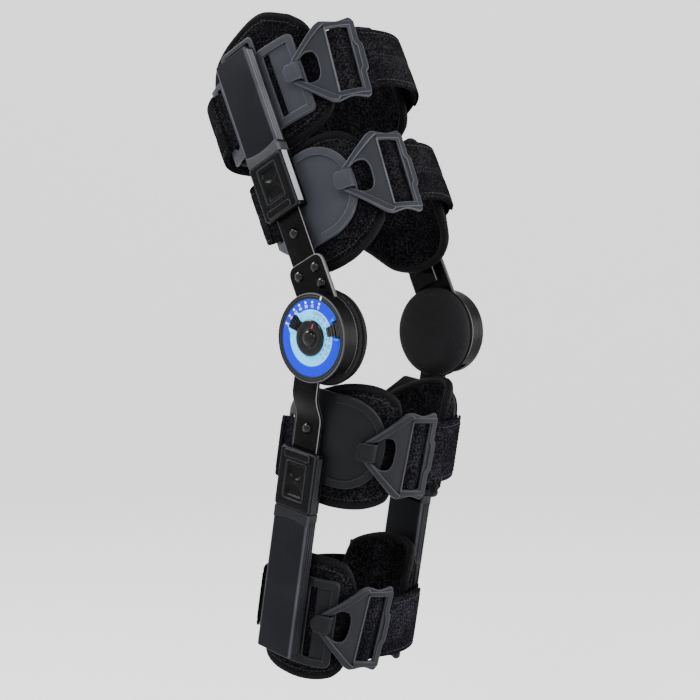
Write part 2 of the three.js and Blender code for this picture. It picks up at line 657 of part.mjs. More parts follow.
// Case: a pan that holds the dials, a side wall where the calf bar never swings, and a tongue on the thigh bar
function caseGeometry() {
  const floor = sidePlate(disc(CASE_R), CASE_FLOOR_IN, CASE_FLOOR_OUT, CASE_SIDES);
  const rim = sidePlate(disc(CASE_R, CASE_RECESS_R), CASE_FLOOR_OUT - LAP, CASE_RIM_OUT, CASE_SIDES);
  const side = sector(WALL_IN_R, CASE_R, CASE_WALL.from, CASE_WALL.to);
  const wall = sidePlate(side, TONGUE_IN + GAP, CASE_FLOOR_IN + LAP, CASE_SIDES / 2);
  const { rear, front, low, high, round, lowRound } = TONGUE;
  const outline = roundedShape([[rear, low], [front, low], [front, high], [rear, high]],
    [lowRound, lowRound, round, round]);
  const swing = sidePlate(disc(WALL_IN_R), TONGUE_IN - OVERSHOOT, TONGUE_OUT + OVERSHOOT, CASE_SIDES);
  const tongue = cut(sidePlate(outline, TONGUE_IN, TONGUE_OUT, 5), swing);
  const bore = sidePlate(disc(SHAFT_R + GAP), CASE_FLOOR_IN - OVERSHOOT, CASE_FLOOR_OUT + OVERSHOOT, SHAFT_SIDES);
  return cut(join(floor, rim, wall, tongue), bore);
}

// Hub: a plate behind the calf bar's head, a shaft, a front disc and its domed rivet
function hubGeometry() {
  const back = CONDYLE_OUT + GAP;
  const front = DIAL_OUT + GAP;
  const top = front + HUB_DISC_HIGH;
  const dome = front + HUB_DOME_HIGH;
  return turned([[0, back], [HUB_BACK_R, back], [HUB_BACK_R, HEAD_IN - GAP], [SHAFT_R, HEAD_IN - GAP],
    [SHAFT_R, front], [HUB_R, front], [HUB_R, top - LAP], [HUB_R - 1, top], [DOME_R, top],
    [DOME_R * 0.8, dome - 0.8], [0, dome]], TURNED_SIDES);
}

// Dial ring with a cut-out for its tab
function dialGeometry(outerR, boreR, { from, middle, half }) {
  const ring = sidePlate(disc(outerR, boreR), CASE_FLOOR_OUT + GAP, DIAL_OUT, 14);
  const notch = sector(from, outerR + OVERSHOOT, middle - half, middle + half);
  return cut(ring, sidePlate(notch, CASE_FLOOR_OUT - OVERSHOOT, DIAL_OUT + OVERSHOOT, 4));
}

// Spring tab that stands in a dial's cut-out
function tabGeometry(outerR, { from, middle, half, proud }) {
  const wide = half - TAB_PLAY;
  const shape = sector(from + GAP, outerR, middle - wide, middle + wide);
  return sidePlate(shape, CASE_FLOOR_OUT + GAP, DIAL_OUT + proud, 3);
}

function condyleGeometry() {
  const profile = [[0, CONDYLE_IN], [CONDYLE_R - 9, CONDYLE_IN + LAP], [CONDYLE_R - 2.5, CONDYLE_IN + 3.6],
    [CONDYLE_R, CONDYLE_IN + 8], [CONDYLE_R, CONDYLE_OUT - 3], [CONDYLE_R - 2, CONDYLE_OUT], [0, CONDYLE_OUT]];
  return turned(profile, TURNED_SIDES);
}

// Assembly

const brace = new THREE.Group();
const groups = {};
for (const [name, { tilt }] of Object.entries(SEGMENTS)) {
  groups[name] = new THREE.Group();
  groups[name].rotation.y = rad(tilt);
  brace.add(groups[name]);
}

function add(segment, name, geometry, finish) {
  const mesh = new THREE.Mesh(bare(geometry), new THREE.MeshStandardMaterial(FINISH[finish]));
  mesh.name = name;
  groups[segment].add(mesh);
}

function addBothSides(segment, name, geometry, finish, shift) {
  add(segment, `outer_${name}`, geometry, finish);
  add(segment, `inner_${name}`, toInnerSide(geometry, shift), finish);
}

for (const [name, cuff] of Object.entries(CUFFS)) {
  const ring = new Ring(cuff);
  addBothSides(cuff.segment, `${name}_pad`, padGeometry(cuff, ring), 'foam', 0);
  add(cuff.segment, `outer_${name}_shell`, outerShellGeometry(cuff, ring), 'shell');
  add(cuff.segment, `inner_${name}_shell`, toInnerSide(shellWall(ring, cuff.shell, {}), 0), 'shell');
  add(cuff.segment, `${name}_buckle`, buckleGeometry(cuff, ring), 'buckle');
  add(cuff.segment, `${name}_strap`, strapGeometry(cuff, ring), 'velour');
}

for (const [name, segment] of Object.entries(SEGMENTS)) {
  const bar = name === 'thigh' ? thighBarGeometry(segment) : calfBarGeometry(segment);
  addBothSides(name, `${name}_bar`, bar, 'bar');
  addBothSides(name, `${name}_sleeve`, sleeveGeometry(segment), 'sleeve');
  add(name, `outer_${name}_collar`, collarGeometry(segment, true), 'collar');
  add(name, `inner_${name}_collar`, toInnerSide(collarGeometry(segment, false)), 'collar');
  add(name, `${name}_button`, buttonGeometry(segment), 'collar');
  const rivet = rivetGeometry(segment.barForward, segment.up * segment.rivet, BAR_IN + BAR_THICK);
  add(name, `${name}_bar_rivet`, rivet, 'bar');
}

addBothSides('thigh', 'hinge_case', caseGeometry(), 'collar');
addBothSides('thigh', 'hinge_hub', hubGeometry(), 'bar');
addBothSides('thigh', 'condyle_pad', condyleGeometry(), 'foam');
for (const { name, forward, up } of TONGUE_RIVETS) {
  add('thigh', `tongue_rivet_${name}`, rivetGeometry(forward, up, TONGUE_OUT), 'bar');
}

add('thigh', 'extension_dial', dialGeometry(EXTENSION_R, EXTENSION_BORE_R, EXTENSION_CUT), 'blue');
add('thigh', 'extension_tab', tabGeometry(EXTENSION_R, EXTENSION_CUT), 'tab');
add('thigh', 'flexion_dial', dialGeometry(FLEXION_R, SHAFT_R + GAP, FLEXION_CUT), 'paleBlue');
add('thigh', 'flexion_tab', tabGeometry(FLEXION_R, FLEXION_CUT), 'tab');
const innerCap = sidePlate(disc(EXTENSION_R, SHAFT_R + GAP), CASE_FLOOR_OUT + GAP, DIAL_OUT, 10);
add('thigh', 'inner_hinge_cap', toInnerSide(innerCap), 'collar');

export default brace;
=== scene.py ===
"""Looks of the hinged knee brace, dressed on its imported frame.

Shapes are worked out in millimetres in a piece's own plane, as (along, up, out): along a cuff's girth or
forwards, up the leg, and out from the skin or from the leg's middle plane. A cuff's ring or a leg segment's
side then carries them into the row frame in metres.
"""

from __future__ import annotations

import logging
import math
from dataclasses import dataclass
from enum import Enum
from functools import cached_property
from typing import Callable, Sequence

import bmesh
import bpy
import numpy as np
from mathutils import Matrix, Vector
from mathutils.geometry import delaunay_2d_cdt


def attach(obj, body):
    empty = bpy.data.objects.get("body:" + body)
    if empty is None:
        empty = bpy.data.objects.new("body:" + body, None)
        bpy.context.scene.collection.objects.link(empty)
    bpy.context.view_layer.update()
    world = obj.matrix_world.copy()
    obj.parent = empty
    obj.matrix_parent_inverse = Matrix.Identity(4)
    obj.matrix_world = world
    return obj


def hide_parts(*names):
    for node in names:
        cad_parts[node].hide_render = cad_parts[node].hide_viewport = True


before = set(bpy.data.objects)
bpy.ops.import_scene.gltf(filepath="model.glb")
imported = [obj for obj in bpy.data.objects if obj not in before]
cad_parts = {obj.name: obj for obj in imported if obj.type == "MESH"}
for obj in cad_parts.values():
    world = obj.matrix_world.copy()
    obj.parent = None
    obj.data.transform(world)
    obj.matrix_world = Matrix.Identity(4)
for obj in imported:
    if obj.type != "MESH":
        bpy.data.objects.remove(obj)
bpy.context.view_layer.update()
LOG = logging.getLogger("knee_brace")

Array = np.ndarray
MM = 0.001
SMOOTH_ANGLE = math.radians(34)

# Places shared with the frame, millimetres out from the leg's middle plane or from the skin
SKIN_HALF_WIDTH = 53.0
RING_POWER = 2.5
PAD_THICK = 8.0
SHELL_IN = 8.3
SHELL_OUT = 11.0
STRAP_IN = 11.4
STRAP_THICK = 2.2
STRAP_WIDTH = 50.0
REAR_SLOT_AT = -33.0
REAR_SLOT_WIDTH = 7.4
INNER_SHIFT = 2.6
BAR_IN = 67.5
BAR_OUT = 70.5
BAR_WIDTH = 26.0
CALF_HEAD_IN = 76.2
CALF_HEAD_OUT = 79.2
DIAL_FOOT = 82.6
DIAL_FACE = 86.0

# Pads: reach of the round ends, height of the edge, width of the border that the seam holds; then the most that
# the swelling moves a point, in metres, and the frames that it runs for
PAD_NOSE = 11.0
PAD_LIP = 4.2
PAD_HELD = 8.5
SWELL_CAP = 0.0022
SWELL_FRAMES = 20

# Straps: the seams' distance from the middle line, and where the layers settle past the hook's tip
SEAM_ACROSS = 21.0
SETTLE_START = 66.0
SETTLE_END = 80.0

# Painted edge highlight of a band profile's points, five in each rounded corner: lit at the corners only, or all over
CORNER_POINTS = 5
CORNER_HIGHLIGHT = np.tile([0.0, 0.6, 1.0, 0.6, 0.0], 4)
FULL_HIGHLIGHT = np.ones(4 * CORNER_POINTS)

OUTWARDS = np.array([0.0, 0.0, 1.0])


class Side(Enum):
    """The two sides of the leg: outer is the one that carries the dial."""

    OUTER = "outer"
    INNER = "inner"


@dataclass
class Surface:
    """Closed skin of a piece.

    Attributes:
        points: Vertices, one row each, as (along, up, out) in millimetres.
        faces: Integer arrays of triangles or quads.
        edge_highlight: Painted edge highlight at each vertex, 0 in hollows and on flats to 1 on edges.
    """

    points: Array
    faces: list[Array]
    edge_highlight: Array

    def moved(self, move: Callable[[Array], Array]) -> Surface:
        """Return the same skin with its points passed through a function."""
        return Surface(move(self.points), self.faces, self.edge_highlight)


def joined(parts: Sequence[Surface]) -> Surface:
    """Put several skins in one, each keeping its own points.

    Args:
        parts: The skins.

    Returns:
        One skin with all their faces.
    """
    starts = np.cumsum([0] + [len(p.points) for p in parts])
    faces = [f + start for p, start in zip(parts, starts) for f in p.faces]
    return Surface(np.vstack([p.points for p in parts]), faces, np.concatenate([p.edge_highlight for p in parts]))


def grid_quads(count: int, wide: int, closed: bool = False) -> Array:
    """Faces of a grid whose rows are closed loops: face (i, j) joins rows i and i + 1 at columns j and j + 1.

    Args:
        count: Number of rows.
        wide: Points in each row.
        closed: Whether the last row joins the first one.

    Returns:
        Point numbers, (n, 4).
    """
    i, j = np.meshgrid(np.arange(count if closed else count - 1), np.arange(wide), indexing="ij")
    ahead, beside = (i + 1) % count, (j + 1) % wide
    return np.stack([i * wide + j, ahead * wide + j, ahead * wide + beside, i * wide + beside], -1).reshape(-1, 4)


def raised(line: Array, out: float) -> Array:
    """Put the points of a flat line at one height."""
    return np.column_stack([line, np.full(len(line), out)])


def run_lengths(line: Array) -> Array:
    """Distance along a polyline at each of its points."""
    return np.concatenate([[0], np.cumsum(np.linalg.norm(np.diff(line, axis=0), axis=1))])


def tube(rows: Array, closed: bool = False, edge_highlight: Array | None = None) -> Surface:
    """Skin a grid of rows, each a closed loop.

    Args:
        rows: Points as (row, column, 3).
        closed: Whether the last row joins the first one. Otherwise both ends close on their middle point.
        edge_highlight: Painted edge highlight of the columns or of every point, none by default.

    Returns:
        The closed skin.
    """
    count, wide = rows.shape[:2]
    # Painted edge highlight of every point; the closing middles get none
    highlight_share = np.zeros((count, wide)) + (0 if edge_highlight is None else edge_highlight)
    points, faces = rows.reshape(-1, 3), [grid_quads(count, wide, closed)]
    if not closed:
        ends = rows[[0, -1]].mean(1)
        column = np.arange(wide)
        last = (count - 1) * wide
        faces.append(np.stack([column, (column + 1) % wide, np.full(wide, count * wide)], -1))
        faces.append(np.stack([last + (column + 1) % wide, last + column, np.full(wide, count * wide + 1)], -1))
        points = np.vstack([points, ends])
        highlight_share = np.append(highlight_share.ravel(), [0, 0])
    return Surface(points, faces, highlight_share.ravel())


def sweep(path: Array, across: Array, up: Array, profile: Array, closed: bool = False,
          edge_highlight: Array | None = None, scale: Array | None = None) -> Surface:
    """Carry a profile along a path: point = path + across * profile x + up * profile y.

    Args:
        path: Points of the path, (n, 3).
        across: Direction of the profile's first axis at each point, (n, 3) or (3,).
        up: Direction of the profile's second axis at each point, (n, 3) or (3,).
        profile: Closed outline, (m, 2).
        closed: Whether the path is a loop.
        edge_highlight: Painted edge highlight of each profile point.
        scale: Size of the profile at each path point, (n,) or (n, 2).

    Returns:
        The closed skin.
    """
    size = np.ones((len(path), 2)) if scale is None else np.asarray(scale, float).reshape(len(path), -1) * np.ones(2)
    shape = profile[None] * size[:, None]
    a, b = (np.broadcast_to(np.asarray(v, float), path.shape) for v in (across, up))
    return tube(path[:, None] + a[:, None] * shape[..., :1] + b[:, None] * shape[..., 1:], closed, edge_highlight)


def directions(path: Array, closed: bool = False) -> Array:
    """Unit tangents of a path by central differences.

    Args:
        path: Points, (n, k).
        closed: Whether the path is a loop.

    Returns:
        Unit vectors, (n, k).
    """
    if closed:
        step = np.roll(path, -1, 0) - np.roll(path, 1, 0)
    else:
        step = np.gradient(path, axis=0)
    return step / np.maximum(np.linalg.norm(step, axis=1, keepdims=True), 1e-9)


def ridge(path: Array, profile: Array, closed: bool = False, edge_highlight: Array | None = None,
          scale: Array | None = None) -> Surface:
    """Carry a profile along a path that lies on a plate: its x runs to the path's left and its y outwards.

    Args:
        path: Points as (along, up, out).
        profile: Closed outline, (m, 2).
        closed: Whether the path is a loop.
        edge_highlight: Painted edge highlight of each profile point.
        scale: Size of the profile at each path point.

    Returns:
        The closed skin.
    """
    ahead = directions(path[:, :2], closed)
    left = np.column_stack([-ahead[:, 1], ahead[:, 0], np.zeros(len(path))])
    return sweep(path, left, OUTWARDS, profile, closed, edge_highlight, scale)


def resampled(points: Array, step: float, closed: bool = False) -> Array:
    """Even points along a polyline.

    Args:
        points: Corners, (n, k).
        step: Wanted distance.
        closed: Whether the line returns to its start, which is then not repeated.

    Returns:
        Points at equal distances.
    """
    line = np.vstack([points, points[:1]]) if closed else np.asarray(points, float)
    length = run_lengths(line)
    count = max(int(round(length[-1] / step)), 3)
    at = np.linspace(0, length[-1], count + 1)
    even = np.column_stack([np.interp(at, length, line[:, k]) for k in range(line.shape[1])])
    return even[:-1] if closed else even


def rounded(corners: Sequence[tuple[float, float]], radius: float | Sequence[float], step: float = 1.2) -> Array:
    """Closed outline with its corners turned into arcs: a quadratic curve from side to side at each corner.

    Args:
        corners: Polygon corners.
        radius: Distance from a corner at which its curve starts, one for all or one each.
        step: Distance between points.

    Returns:
        Even points round the outline.
    """
    p = np.asarray(corners, float)
    r = np.broadcast_to(np.asarray(radius, float), len(p))[:, None]
    to = lambda q: (q - p) / np.linalg.norm(q - p, axis=1, keepdims=True)
    start, end = p + to(np.roll(p, 1, 0)) * r, p + to(np.roll(p, -1, 0)) * r
    t = np.linspace(0, 1, 9)[None, :, None]
    arcs = start[:, None] * (1 - t) ** 2 + p[:, None] * 2 * t * (1 - t) + end[:, None] * t ** 2
    return resampled(arcs.reshape(-1, 2), step, closed=True)


def rectangle(a: tuple[float, float], b: tuple[float, float], radius: float) -> Array:
    """Rounded rectangle between two along places and two up places."""
    return rounded([(a[0], b[0]), (a[1], b[0]), (a[1], b[1]), (a[0], b[1])], radius)


def circle(radius: float, sides: int = 48, centre: tuple[float, float] = (0, 0)) -> Array:
    """Even points round a circle."""
    angle = np.linspace(0, 2 * np.pi, sides, endpoint=False)
    return np.column_stack([centre[0] + radius * np.cos(angle), centre[1] + radius * np.sin(angle)])


def band(width: float, thick: float, edge: float) -> Array:
    """Closed rounded-rectangle profile centred on its width, its foot at y = 0.

    Args:
        width: Along the profile's x.
        thick: Along its y.
        edge: Corner radius.

    Returns:
        Profile points, (4 * CORNER_POINTS, 2).
    """
    turn = np.linspace(0, np.pi / 2, CORNER_POINTS)
    corner = np.column_stack([np.cos(turn), np.sin(turn)]) * edge
    w, t = width / 2 - edge, thick - edge
    arcs = []
    for k, (x, y) in enumerate([(w, t), (-w, t), (-w, edge), (w, edge)]):
        c, s = round(math.cos(k * math.pi / 2)), round(math.sin(k * math.pi / 2))
        arcs.append(corner @ np.array([[c, s], [-s, c]]) + (x, y))
    return np.vstack(arcs)


def inside(points: Array, loop: Array) -> Array:
    """Whether points lie in a closed outline, by counting crossings of a ray.

    Args:
        points: Points, (n, 2).
        loop: Outline, (m, 2).

    Returns:
        One truth value per point.
    """
    a, b = loop, np.roll(loop, -1, 0)
    y = points[:, 1:]
    spans = (a[:, 1] > y) != (b[:, 1] > y)
    rise = np.where(b[:, 1] == a[:, 1], 1e-9, b[:, 1] - a[:, 1])
    hit = points[:, :1] < (b[:, 0] - a[:, 0]) * (y - a[:, 1]) / rise + a[:, 0]
    return (spans & hit).sum(1) % 2 == 1


def within(points: Array, loops: Sequence[Array]) -> Array:
    """Whether points lie in the first outline and in none of the holes after it."""
    found = inside(points, loops[0])
    for hole in loops[1:]:
        found &= ~inside(points, hole)
    return found


def plate(loops: Sequence[Array], low: float, high: float, edge: float = 0.8, lattice: float = 5.0,
          dish: Callable[[Array], Array] | None = None) -> Surface:
    """Flat plate with holes and rounded edges.

    A loop's rim is a quarter circle of the edge's radius at the top, the straight side and a quarter circle
    at the foot. The faces between the rims are triangles over an even lattice.

    Args:
        loops: Outline first, then the holes.
        low: Height of the foot.
        high: Height of the top.
        edge: Radius of the edges.
        lattice: Distance between the lattice's points, so that the plate can bend.
        dish: Height to add to the top at given (along, up) points.

    Returns:
        The closed skin.
    """
    turn = np.linspace(0, np.pi / 2, 4)
    drop = np.concatenate([edge * (1 - np.cos(turn)), (high - low) - edge * (1 - np.cos(turn[::-1]))])
    pull = np.concatenate([edge * (1 - np.sin(turn)), edge * (1 - np.sin(turn[::-1]))])
    # Painted highlight round each rim, brightest along the top edge
    rim_highlight = np.concatenate([[0, 0.7, 1, 0.5], [0.2, 0.3, 0.2, 0]])
    parts, caps = [], []
    for k, loop in enumerate(loops):
        b = np.roll(loop, -1, 0)
        area = (loop[:, 0] * b[:, 1] - b[:, 0] * loop[:, 1]).sum()
        ahead = directions(loop, closed=True)
        away = np.column_stack([ahead[:, 1], -ahead[:, 0]]) * np.sign(area) * (1 if k == 0 else -1)
        rim = loop[None] - away[None] * pull[:, None, None]
        height = np.broadcast_to((high - drop)[:, None], rim.shape[:2])
        rows = np.dstack([rim, height])
        count, wide = rows.shape[:2]
        parts.append(Surface(rows.reshape(-1, 3), [grid_quads(count, wide)], np.repeat(rim_highlight, wide)))
        caps.append(rim[0])
    span = [np.arange(m, n, lattice) for m, n in zip(loops[0].min(0), loops[0].max(0))]
    spots = np.stack(np.meshgrid(*span, indexing="ij"), -1).reshape(-1, 2)
    rim_points = np.vstack(caps)
    spots = spots[within(spots, caps)]
    if len(spots):
        near = np.linalg.norm(spots[:, None] - rim_points[None], axis=2).min(1)
        spots = spots[near > 0.35 * lattice]
    starts = np.cumsum([0] + [len(c) for c in caps])
    edges = [(s + i, s + (i + 1) % len(c)) for s, c in zip(starts, caps) for i in range(len(c))]
    flat = [Vector(p) for p in np.vstack([rim_points, spots])]
    found = delaunay_2d_cdt(flat, edges, [], 1, 1e-5)
    top = np.array([tuple(v) for v in found[0]])
    triangles = np.array(found[2])
    triangles = triangles[within(top[triangles].mean(1), caps)]
    for height, order in ((high, [0, 1, 2]), (low, [0, 2, 1])):
        parts.append(Surface(raised(top, height), [triangles[:, order]], np.zeros(len(top))))
    whole = joined(parts)
    if dish is not None:
        share = (whole.points[:, 2] - low) / (high - low)
        whole.points[:, 2] += dish(whole.points[:, :2]) * share
    return whole


def lathe(profile: Array, sides: int = 64, turns: tuple[float, float] | None = None,
          edge_highlight: Array | None = None) -> Surface:
    """Turn a profile about the hinge axis: point = (r cos a, r sin a, out).

    Args:
        profile: Closed outline as (radius, out) points, away from the axis, or open from axis to axis.
        sides: Steps round the axis.
        turns: First and last angle in degrees for a part turn.
        edge_highlight: Painted edge highlight of each profile point.

    Returns:
        The closed skin.
    """
    full = turns is None
    angle = np.linspace(0, 2 * np.pi, sides, endpoint=False) if full else np.radians(np.linspace(*turns, sides))
    r, out = profile[:, 0], profile[:, 1]
    rows = np.stack([np.outer(np.cos(angle), r), np.outer(np.sin(angle), r),
                     np.broadcast_to(out, (len(angle), len(out)))], -1)
    return tube(rows, closed=full, edge_highlight=edge_highlight)


def dome(profile: Array, sides: int = 24, centre: tuple[float, float] = (0, 0)) -> Surface:
    """Turned button: loops of the profile's radius at its height, closed on the axis at both ends.

    Args:
        profile: Points as (radius, out) from the foot's rim to the top, none on the axis.
        sides: Steps round the axis.
        centre: Place of the axis as (along, up).

    Returns:
        The closed skin.
    """
    ring = circle(1.0, sides)
    rows = np.dstack([ring[None] * profile[:, :1, None] + np.array(centre),
                      np.broadcast_to(profile[:, 1:], (len(profile), sides))])
    return tube(rows)


@dataclass(frozen=True)
class Value:
    """A shader socket that takes part in Python expressions; each operation adds one Math node."""

    shader: "Shader"
    socket: bpy.types.NodeSocket

    def _math(self, operation: str, first: "Value | float", second: "Value | float") -> Value:
        """Add a Math node for an operation on two values."""
        return self.shader.node("ShaderNodeMath", {"operation": operation}, {0: first, 1: second})

    def __add__(self, other: "Value | float") -> Value:
        """Sum."""
        return self._math("ADD", self, other)

    def __radd__(self, other: float) -> Value:
        """Sum with a number first."""
        return self._math("ADD", other, self)

    def __sub__(self, other: "Value | float") -> Value:
        """Difference."""
        return self._math("SUBTRACT", self, other)

    def __rsub__(self, other: float) -> Value:
        """Difference from a number."""
        return self._math("SUBTRACT", other, self)

    def __mul__(self, other: "Value | float") -> Value:
        """Product."""
        return self._math("MULTIPLY", self, other)

    def __rmul__(self, other: float) -> Value:
        """Product with a number first."""
        return self._math("MULTIPLY", other, self)

    def __pow__(self, other: "Value | float") -> Value:
        """Power."""
        return self._math("POWER", self, other)

    def clamped(self, low: float = 0.0, high: float = 1.0) -> Value:
        """Hold the value between two numbers."""
        return self.shader.node("ShaderNodeClamp", {}, {"Value": self, "Min": low, "Max": high})


class Shader:
    """One material with its Principled shader."""

    def __init__(self, name: str) -> None:
        """Start an empty material of that name."""
        self.material = bpy.data.materials.new(name)
        self.material.use_nodes = True
        self.tree = self.material.node_tree
        self.main = self.tree.nodes["Principled BSDF"]

    def node(self, kind: str, settings: dict[str, object] | None = None,
             inputs: dict[object, object] | None = None, output: object = 0) -> Value:
        """Add a node.

        Args:
            kind: The node's type name.
            settings: Attributes set before the sockets.
            inputs: Values or links by socket name or number.
            output: Name or number of the socket to return.

        Returns:
            The chosen output.
        """
        made = self.tree.nodes.new(kind)
        for key, setting in (settings or {}).items():
            setattr(made, key, setting)
        for key, value in (inputs or {}).items():
            self.feed(made.inputs[key], value)
        return Value(self, made.outputs[output])

    def feed(self, socket: bpy.types.NodeSocket, value: object) -> None:
        """Link a value to a socket, or set a plain number, vector or colour on it."""
        if isinstance(value, Value):
            self.tree.links.new(value.socket, socket)
        elif socket.type == "RGBA":
            socket.default_value = (*value, 1.0)
        else:
            socket.default_value = value

    def put(self, **values: object) -> None:
        """Feed the Principled shader's sockets, named with underscores for spaces."""
        for key, value in values.items():
            self.feed(self.main.inputs[key.replace("_", " ")], value)

    def attribute(self, name: str, output: str) -> Value:
        """Value that the mesh carries at each of its points."""
        return self.node("ShaderNodeAttribute", {"attribute_name": name}, {}, output)

    def place(self) -> Value:
        """Object coordinates, in metres."""
        return self.node("ShaderNodeTexCoord", {}, {}, "Object")

    def mixed(self, share: Value | float, first: object, second: object) -> Value:
        """Blend two colours by a share of the second."""
        return self.node("ShaderNodeMix", {"data_type": "RGBA"}, {0: share, 6: first, 7: second}, 2)

    def noise(self, where: Value, scale: float, detail: float = 2.0, rough: float = 0.5) -> Value:
        """Soft random value from 0 to 1 with features of one over the scale, in metres."""
        inputs = {"Vector": where, "Scale": scale, "Detail": detail, "Roughness": rough}
        return self.node("ShaderNodeTexNoise", {}, inputs, "Fac")

    def cells(self, where: Value, scale: float) -> Value:
        """Distance to the nearest of scattered points, as on a pile of loops."""
        return self.node("ShaderNodeTexVoronoi", {}, {"Vector": where, "Scale": scale}, "Distance")

    def stretched(self, where: Value, scale: tuple[float, float, float]) -> Value:
        """Scale coordinates axis by axis."""
        return self.node("ShaderNodeMapping", {}, {"Vector": where, "Scale": scale})

    def bump(self, height: Value, distance: float, strength: float) -> Value:
        """Normal of a height field."""
        return self.node("ShaderNodeBump", {}, {"Strength": strength, "Distance": distance, "Height": height})


class Texture(Enum):
    """Kinds of surface that the brace shows."""

    VELOUR = "loop pile"
    TAPE = "smooth woven binding"
    THREAD = "sewing thread"
    MOULDED = "grained moulded plastic"
    GLOSS = "smooth coated or polished surface"
    PRINT = "printed ink"


@dataclass(frozen=True)
class Finish:
    """A surface finish and the record's slot that it belongs to.

    Attributes:
        name: Material name.
        slot: Material slot in the record; not used.
        texture: Kind of surface.
        colour: Base colour, linear.
        edge: Colour of the painted highlight on edges for moulded and gloss finishes; the lighter tone of the pattern
            for pile, tape and ink.
        roughness: Mean roughness.
        grain: Features per metre.
        relief: Bump depth in metres.
        coat: Clear coat weight.
        shine: Specular level.
        glow: Emission strength of a painted glow that makes a surface brighter though it is no lamp.
    """

    name: str
    slot: str
    texture: Texture
    colour: tuple[float, float, float]
    edge: tuple[float, float, float]
    roughness: float
    grain: float
    relief: float
    coat: float = 0.0
    shine: float = 0.4
    glow: float = 0.0

    def material(self) -> bpy.types.Material:
        """Return the finish's material, made on first use."""
        made = bpy.data.materials.get(self.name)
        return made if made is not None else self._make()

    def _make(self) -> bpy.types.Material:
        """Build the node tree for the finish's texture."""
        shader = Shader(self.name)
        shader.put(Coat_Weight=self.coat, Coat_Roughness=0.12, Specular_IOR_Level=self.shine)
        # Painted glow in the finish's own colour
        if self.glow:
            shader.put(Emission_Color=self.colour, Emission_Strength=self.glow)
        build = {Texture.VELOUR: self._velour, Texture.TAPE: self._tape, Texture.THREAD: self._tape,
                 Texture.MOULDED: self._moulded, Texture.GLOSS: self._gloss, Texture.PRINT: self._print}
        build[self.texture](shader)
        return shader.material

    def _velour(self, shader: Shader) -> None:
        """Loop pile: scattered loops with fuzz between, darker in the hollows, mottled where it is brushed."""
        where = shader.attribute("flat", "Vector")
        loops = shader.cells(where, self.grain)
        fuzz = shader.noise(where, self.grain * 2.3, 3.0, 0.65)
        brushed = shader.noise(where, self.grain * 0.045, 4.0, 0.6)
        pile = (1.0 - loops) * 0.7 + fuzz * 0.5
        tone = (pile * 1.5 + brushed * 0.8 - 1.15).clamped() ** 1.6
        shader.put(Base_Color=shader.mixed(tone, self.colour, self.edge),
                   Roughness=(self.roughness - 0.12 + fuzz * 0.2).clamped(),
                   Normal=shader.bump(pile, self.relief, 0.85))

    def _tape(self, shader: Shader) -> None:
        """Woven tape or thread: fine diagonal ribs under a little loose fibre."""
        where = shader.attribute("flat", "Vector")
        ribs = shader.node("ShaderNodeTexWave", {"bands_direction": "DIAGONAL"},
                           {"Vector": where, "Scale": self.grain, "Distortion": 0.8, "Detail": 1.0}, "Fac")
        fibre = shader.noise(where, self.grain * 9.0, 3.0)
        tone = (ribs * 0.45 + fibre * 0.7 - 0.2).clamped()
        shader.put(Base_Color=shader.mixed(tone, self.colour, self.edge),
                   Roughness=(self.roughness - 0.1 + fibre * 0.2).clamped(),
                   Normal=shader.bump(ribs * 0.6 + fibre * 0.5, self.relief, 0.6))

    def _moulded(self, shader: Shader) -> None:
        """Moulded plastic: spark-eroded grain, faint flow clouds, and a painted highlight that makes edges lighter,
        which are also smoother.
        """
        where = shader.place()
        grain = shader.noise(where, self.grain, 3.0, 0.55)
        clouds = shader.noise(where, 42.0, 4.0, 0.55)
        scuffs = shader.noise(shader.stretched(where, (900.0, 900.0, 160.0)), 1.0, 2.0, 0.6)
        # Painted highlight: edges lighter in colour, broken up by the flow clouds, and smoother
        edge_highlight = shader.attribute("edge_highlight", "Fac")
        lit_edges = (edge_highlight * (0.35 + clouds * 0.9)).clamped()
        tone = (lit_edges + (clouds - 0.5) * 0.25 + (grain - 0.5) * 0.3).clamped()
        rough = self.roughness - lit_edges * 0.14 + (scuffs - 0.5) * 0.16 + (grain - 0.5) * 0.1
        shader.put(Base_Color=shader.mixed(tone, self.colour, self.edge),
                   Roughness=rough.clamped(0.1),
                   Normal=shader.bump(grain, self.relief, 0.55))

    def _gloss(self, shader: Shader) -> None:
        """Coated or polished surface: slight orange peel, hair scratches and dust in the gloss, and a painted highlight
        on edges.
        """
        where = shader.place()
        peel = shader.noise(where, self.grain, 2.0)
        hair = shader.noise(shader.stretched(where, (2600.0, 2600.0, 190.0)), 1.0, 2.0, 0.7)
        dust = shader.noise(where, 70.0, 5.0, 0.62)
        # Painted highlight on edges, with a faint tone of dust
        edge_highlight = shader.attribute("edge_highlight", "Fac")
        tone = (edge_highlight * 0.7 + (dust - 0.5) * 0.03).clamped()
        shader.put(Base_Color=shader.mixed(tone, self.colour, self.edge),
                   Roughness=(self.roughness + (hair - 0.5) * 0.12 + (dust - 0.5) * 0.14).clamped(0.05),
                   Normal=shader.bump(peel + hair * 0.15, self.relief, 0.3))

    def _print(self, shader: Shader) -> None:
        """Ink: a thin uneven layer."""
        where = shader.place()
        film = shader.noise(where, self.grain, 3.0)
        shader.put(Base_Color=shader.mixed(film, self.colour, self.edge),
                   Roughness=(self.roughness + (film - 0.5) * 0.2).clamped(),
                   Normal=shader.bump(film, self.relief, 0.3))


# On the moulded and gloss finishes the second colour is the painted edge highlight
SLEEVE = Finish("charcoal_sleeve", "sleeve_plastic", Texture.MOULDED, (0.0066, 0.0069, 0.0085), (0.056, 0.0576, 0.0664),
                0.56, 1500.0, 0.00006, shine=0.035)
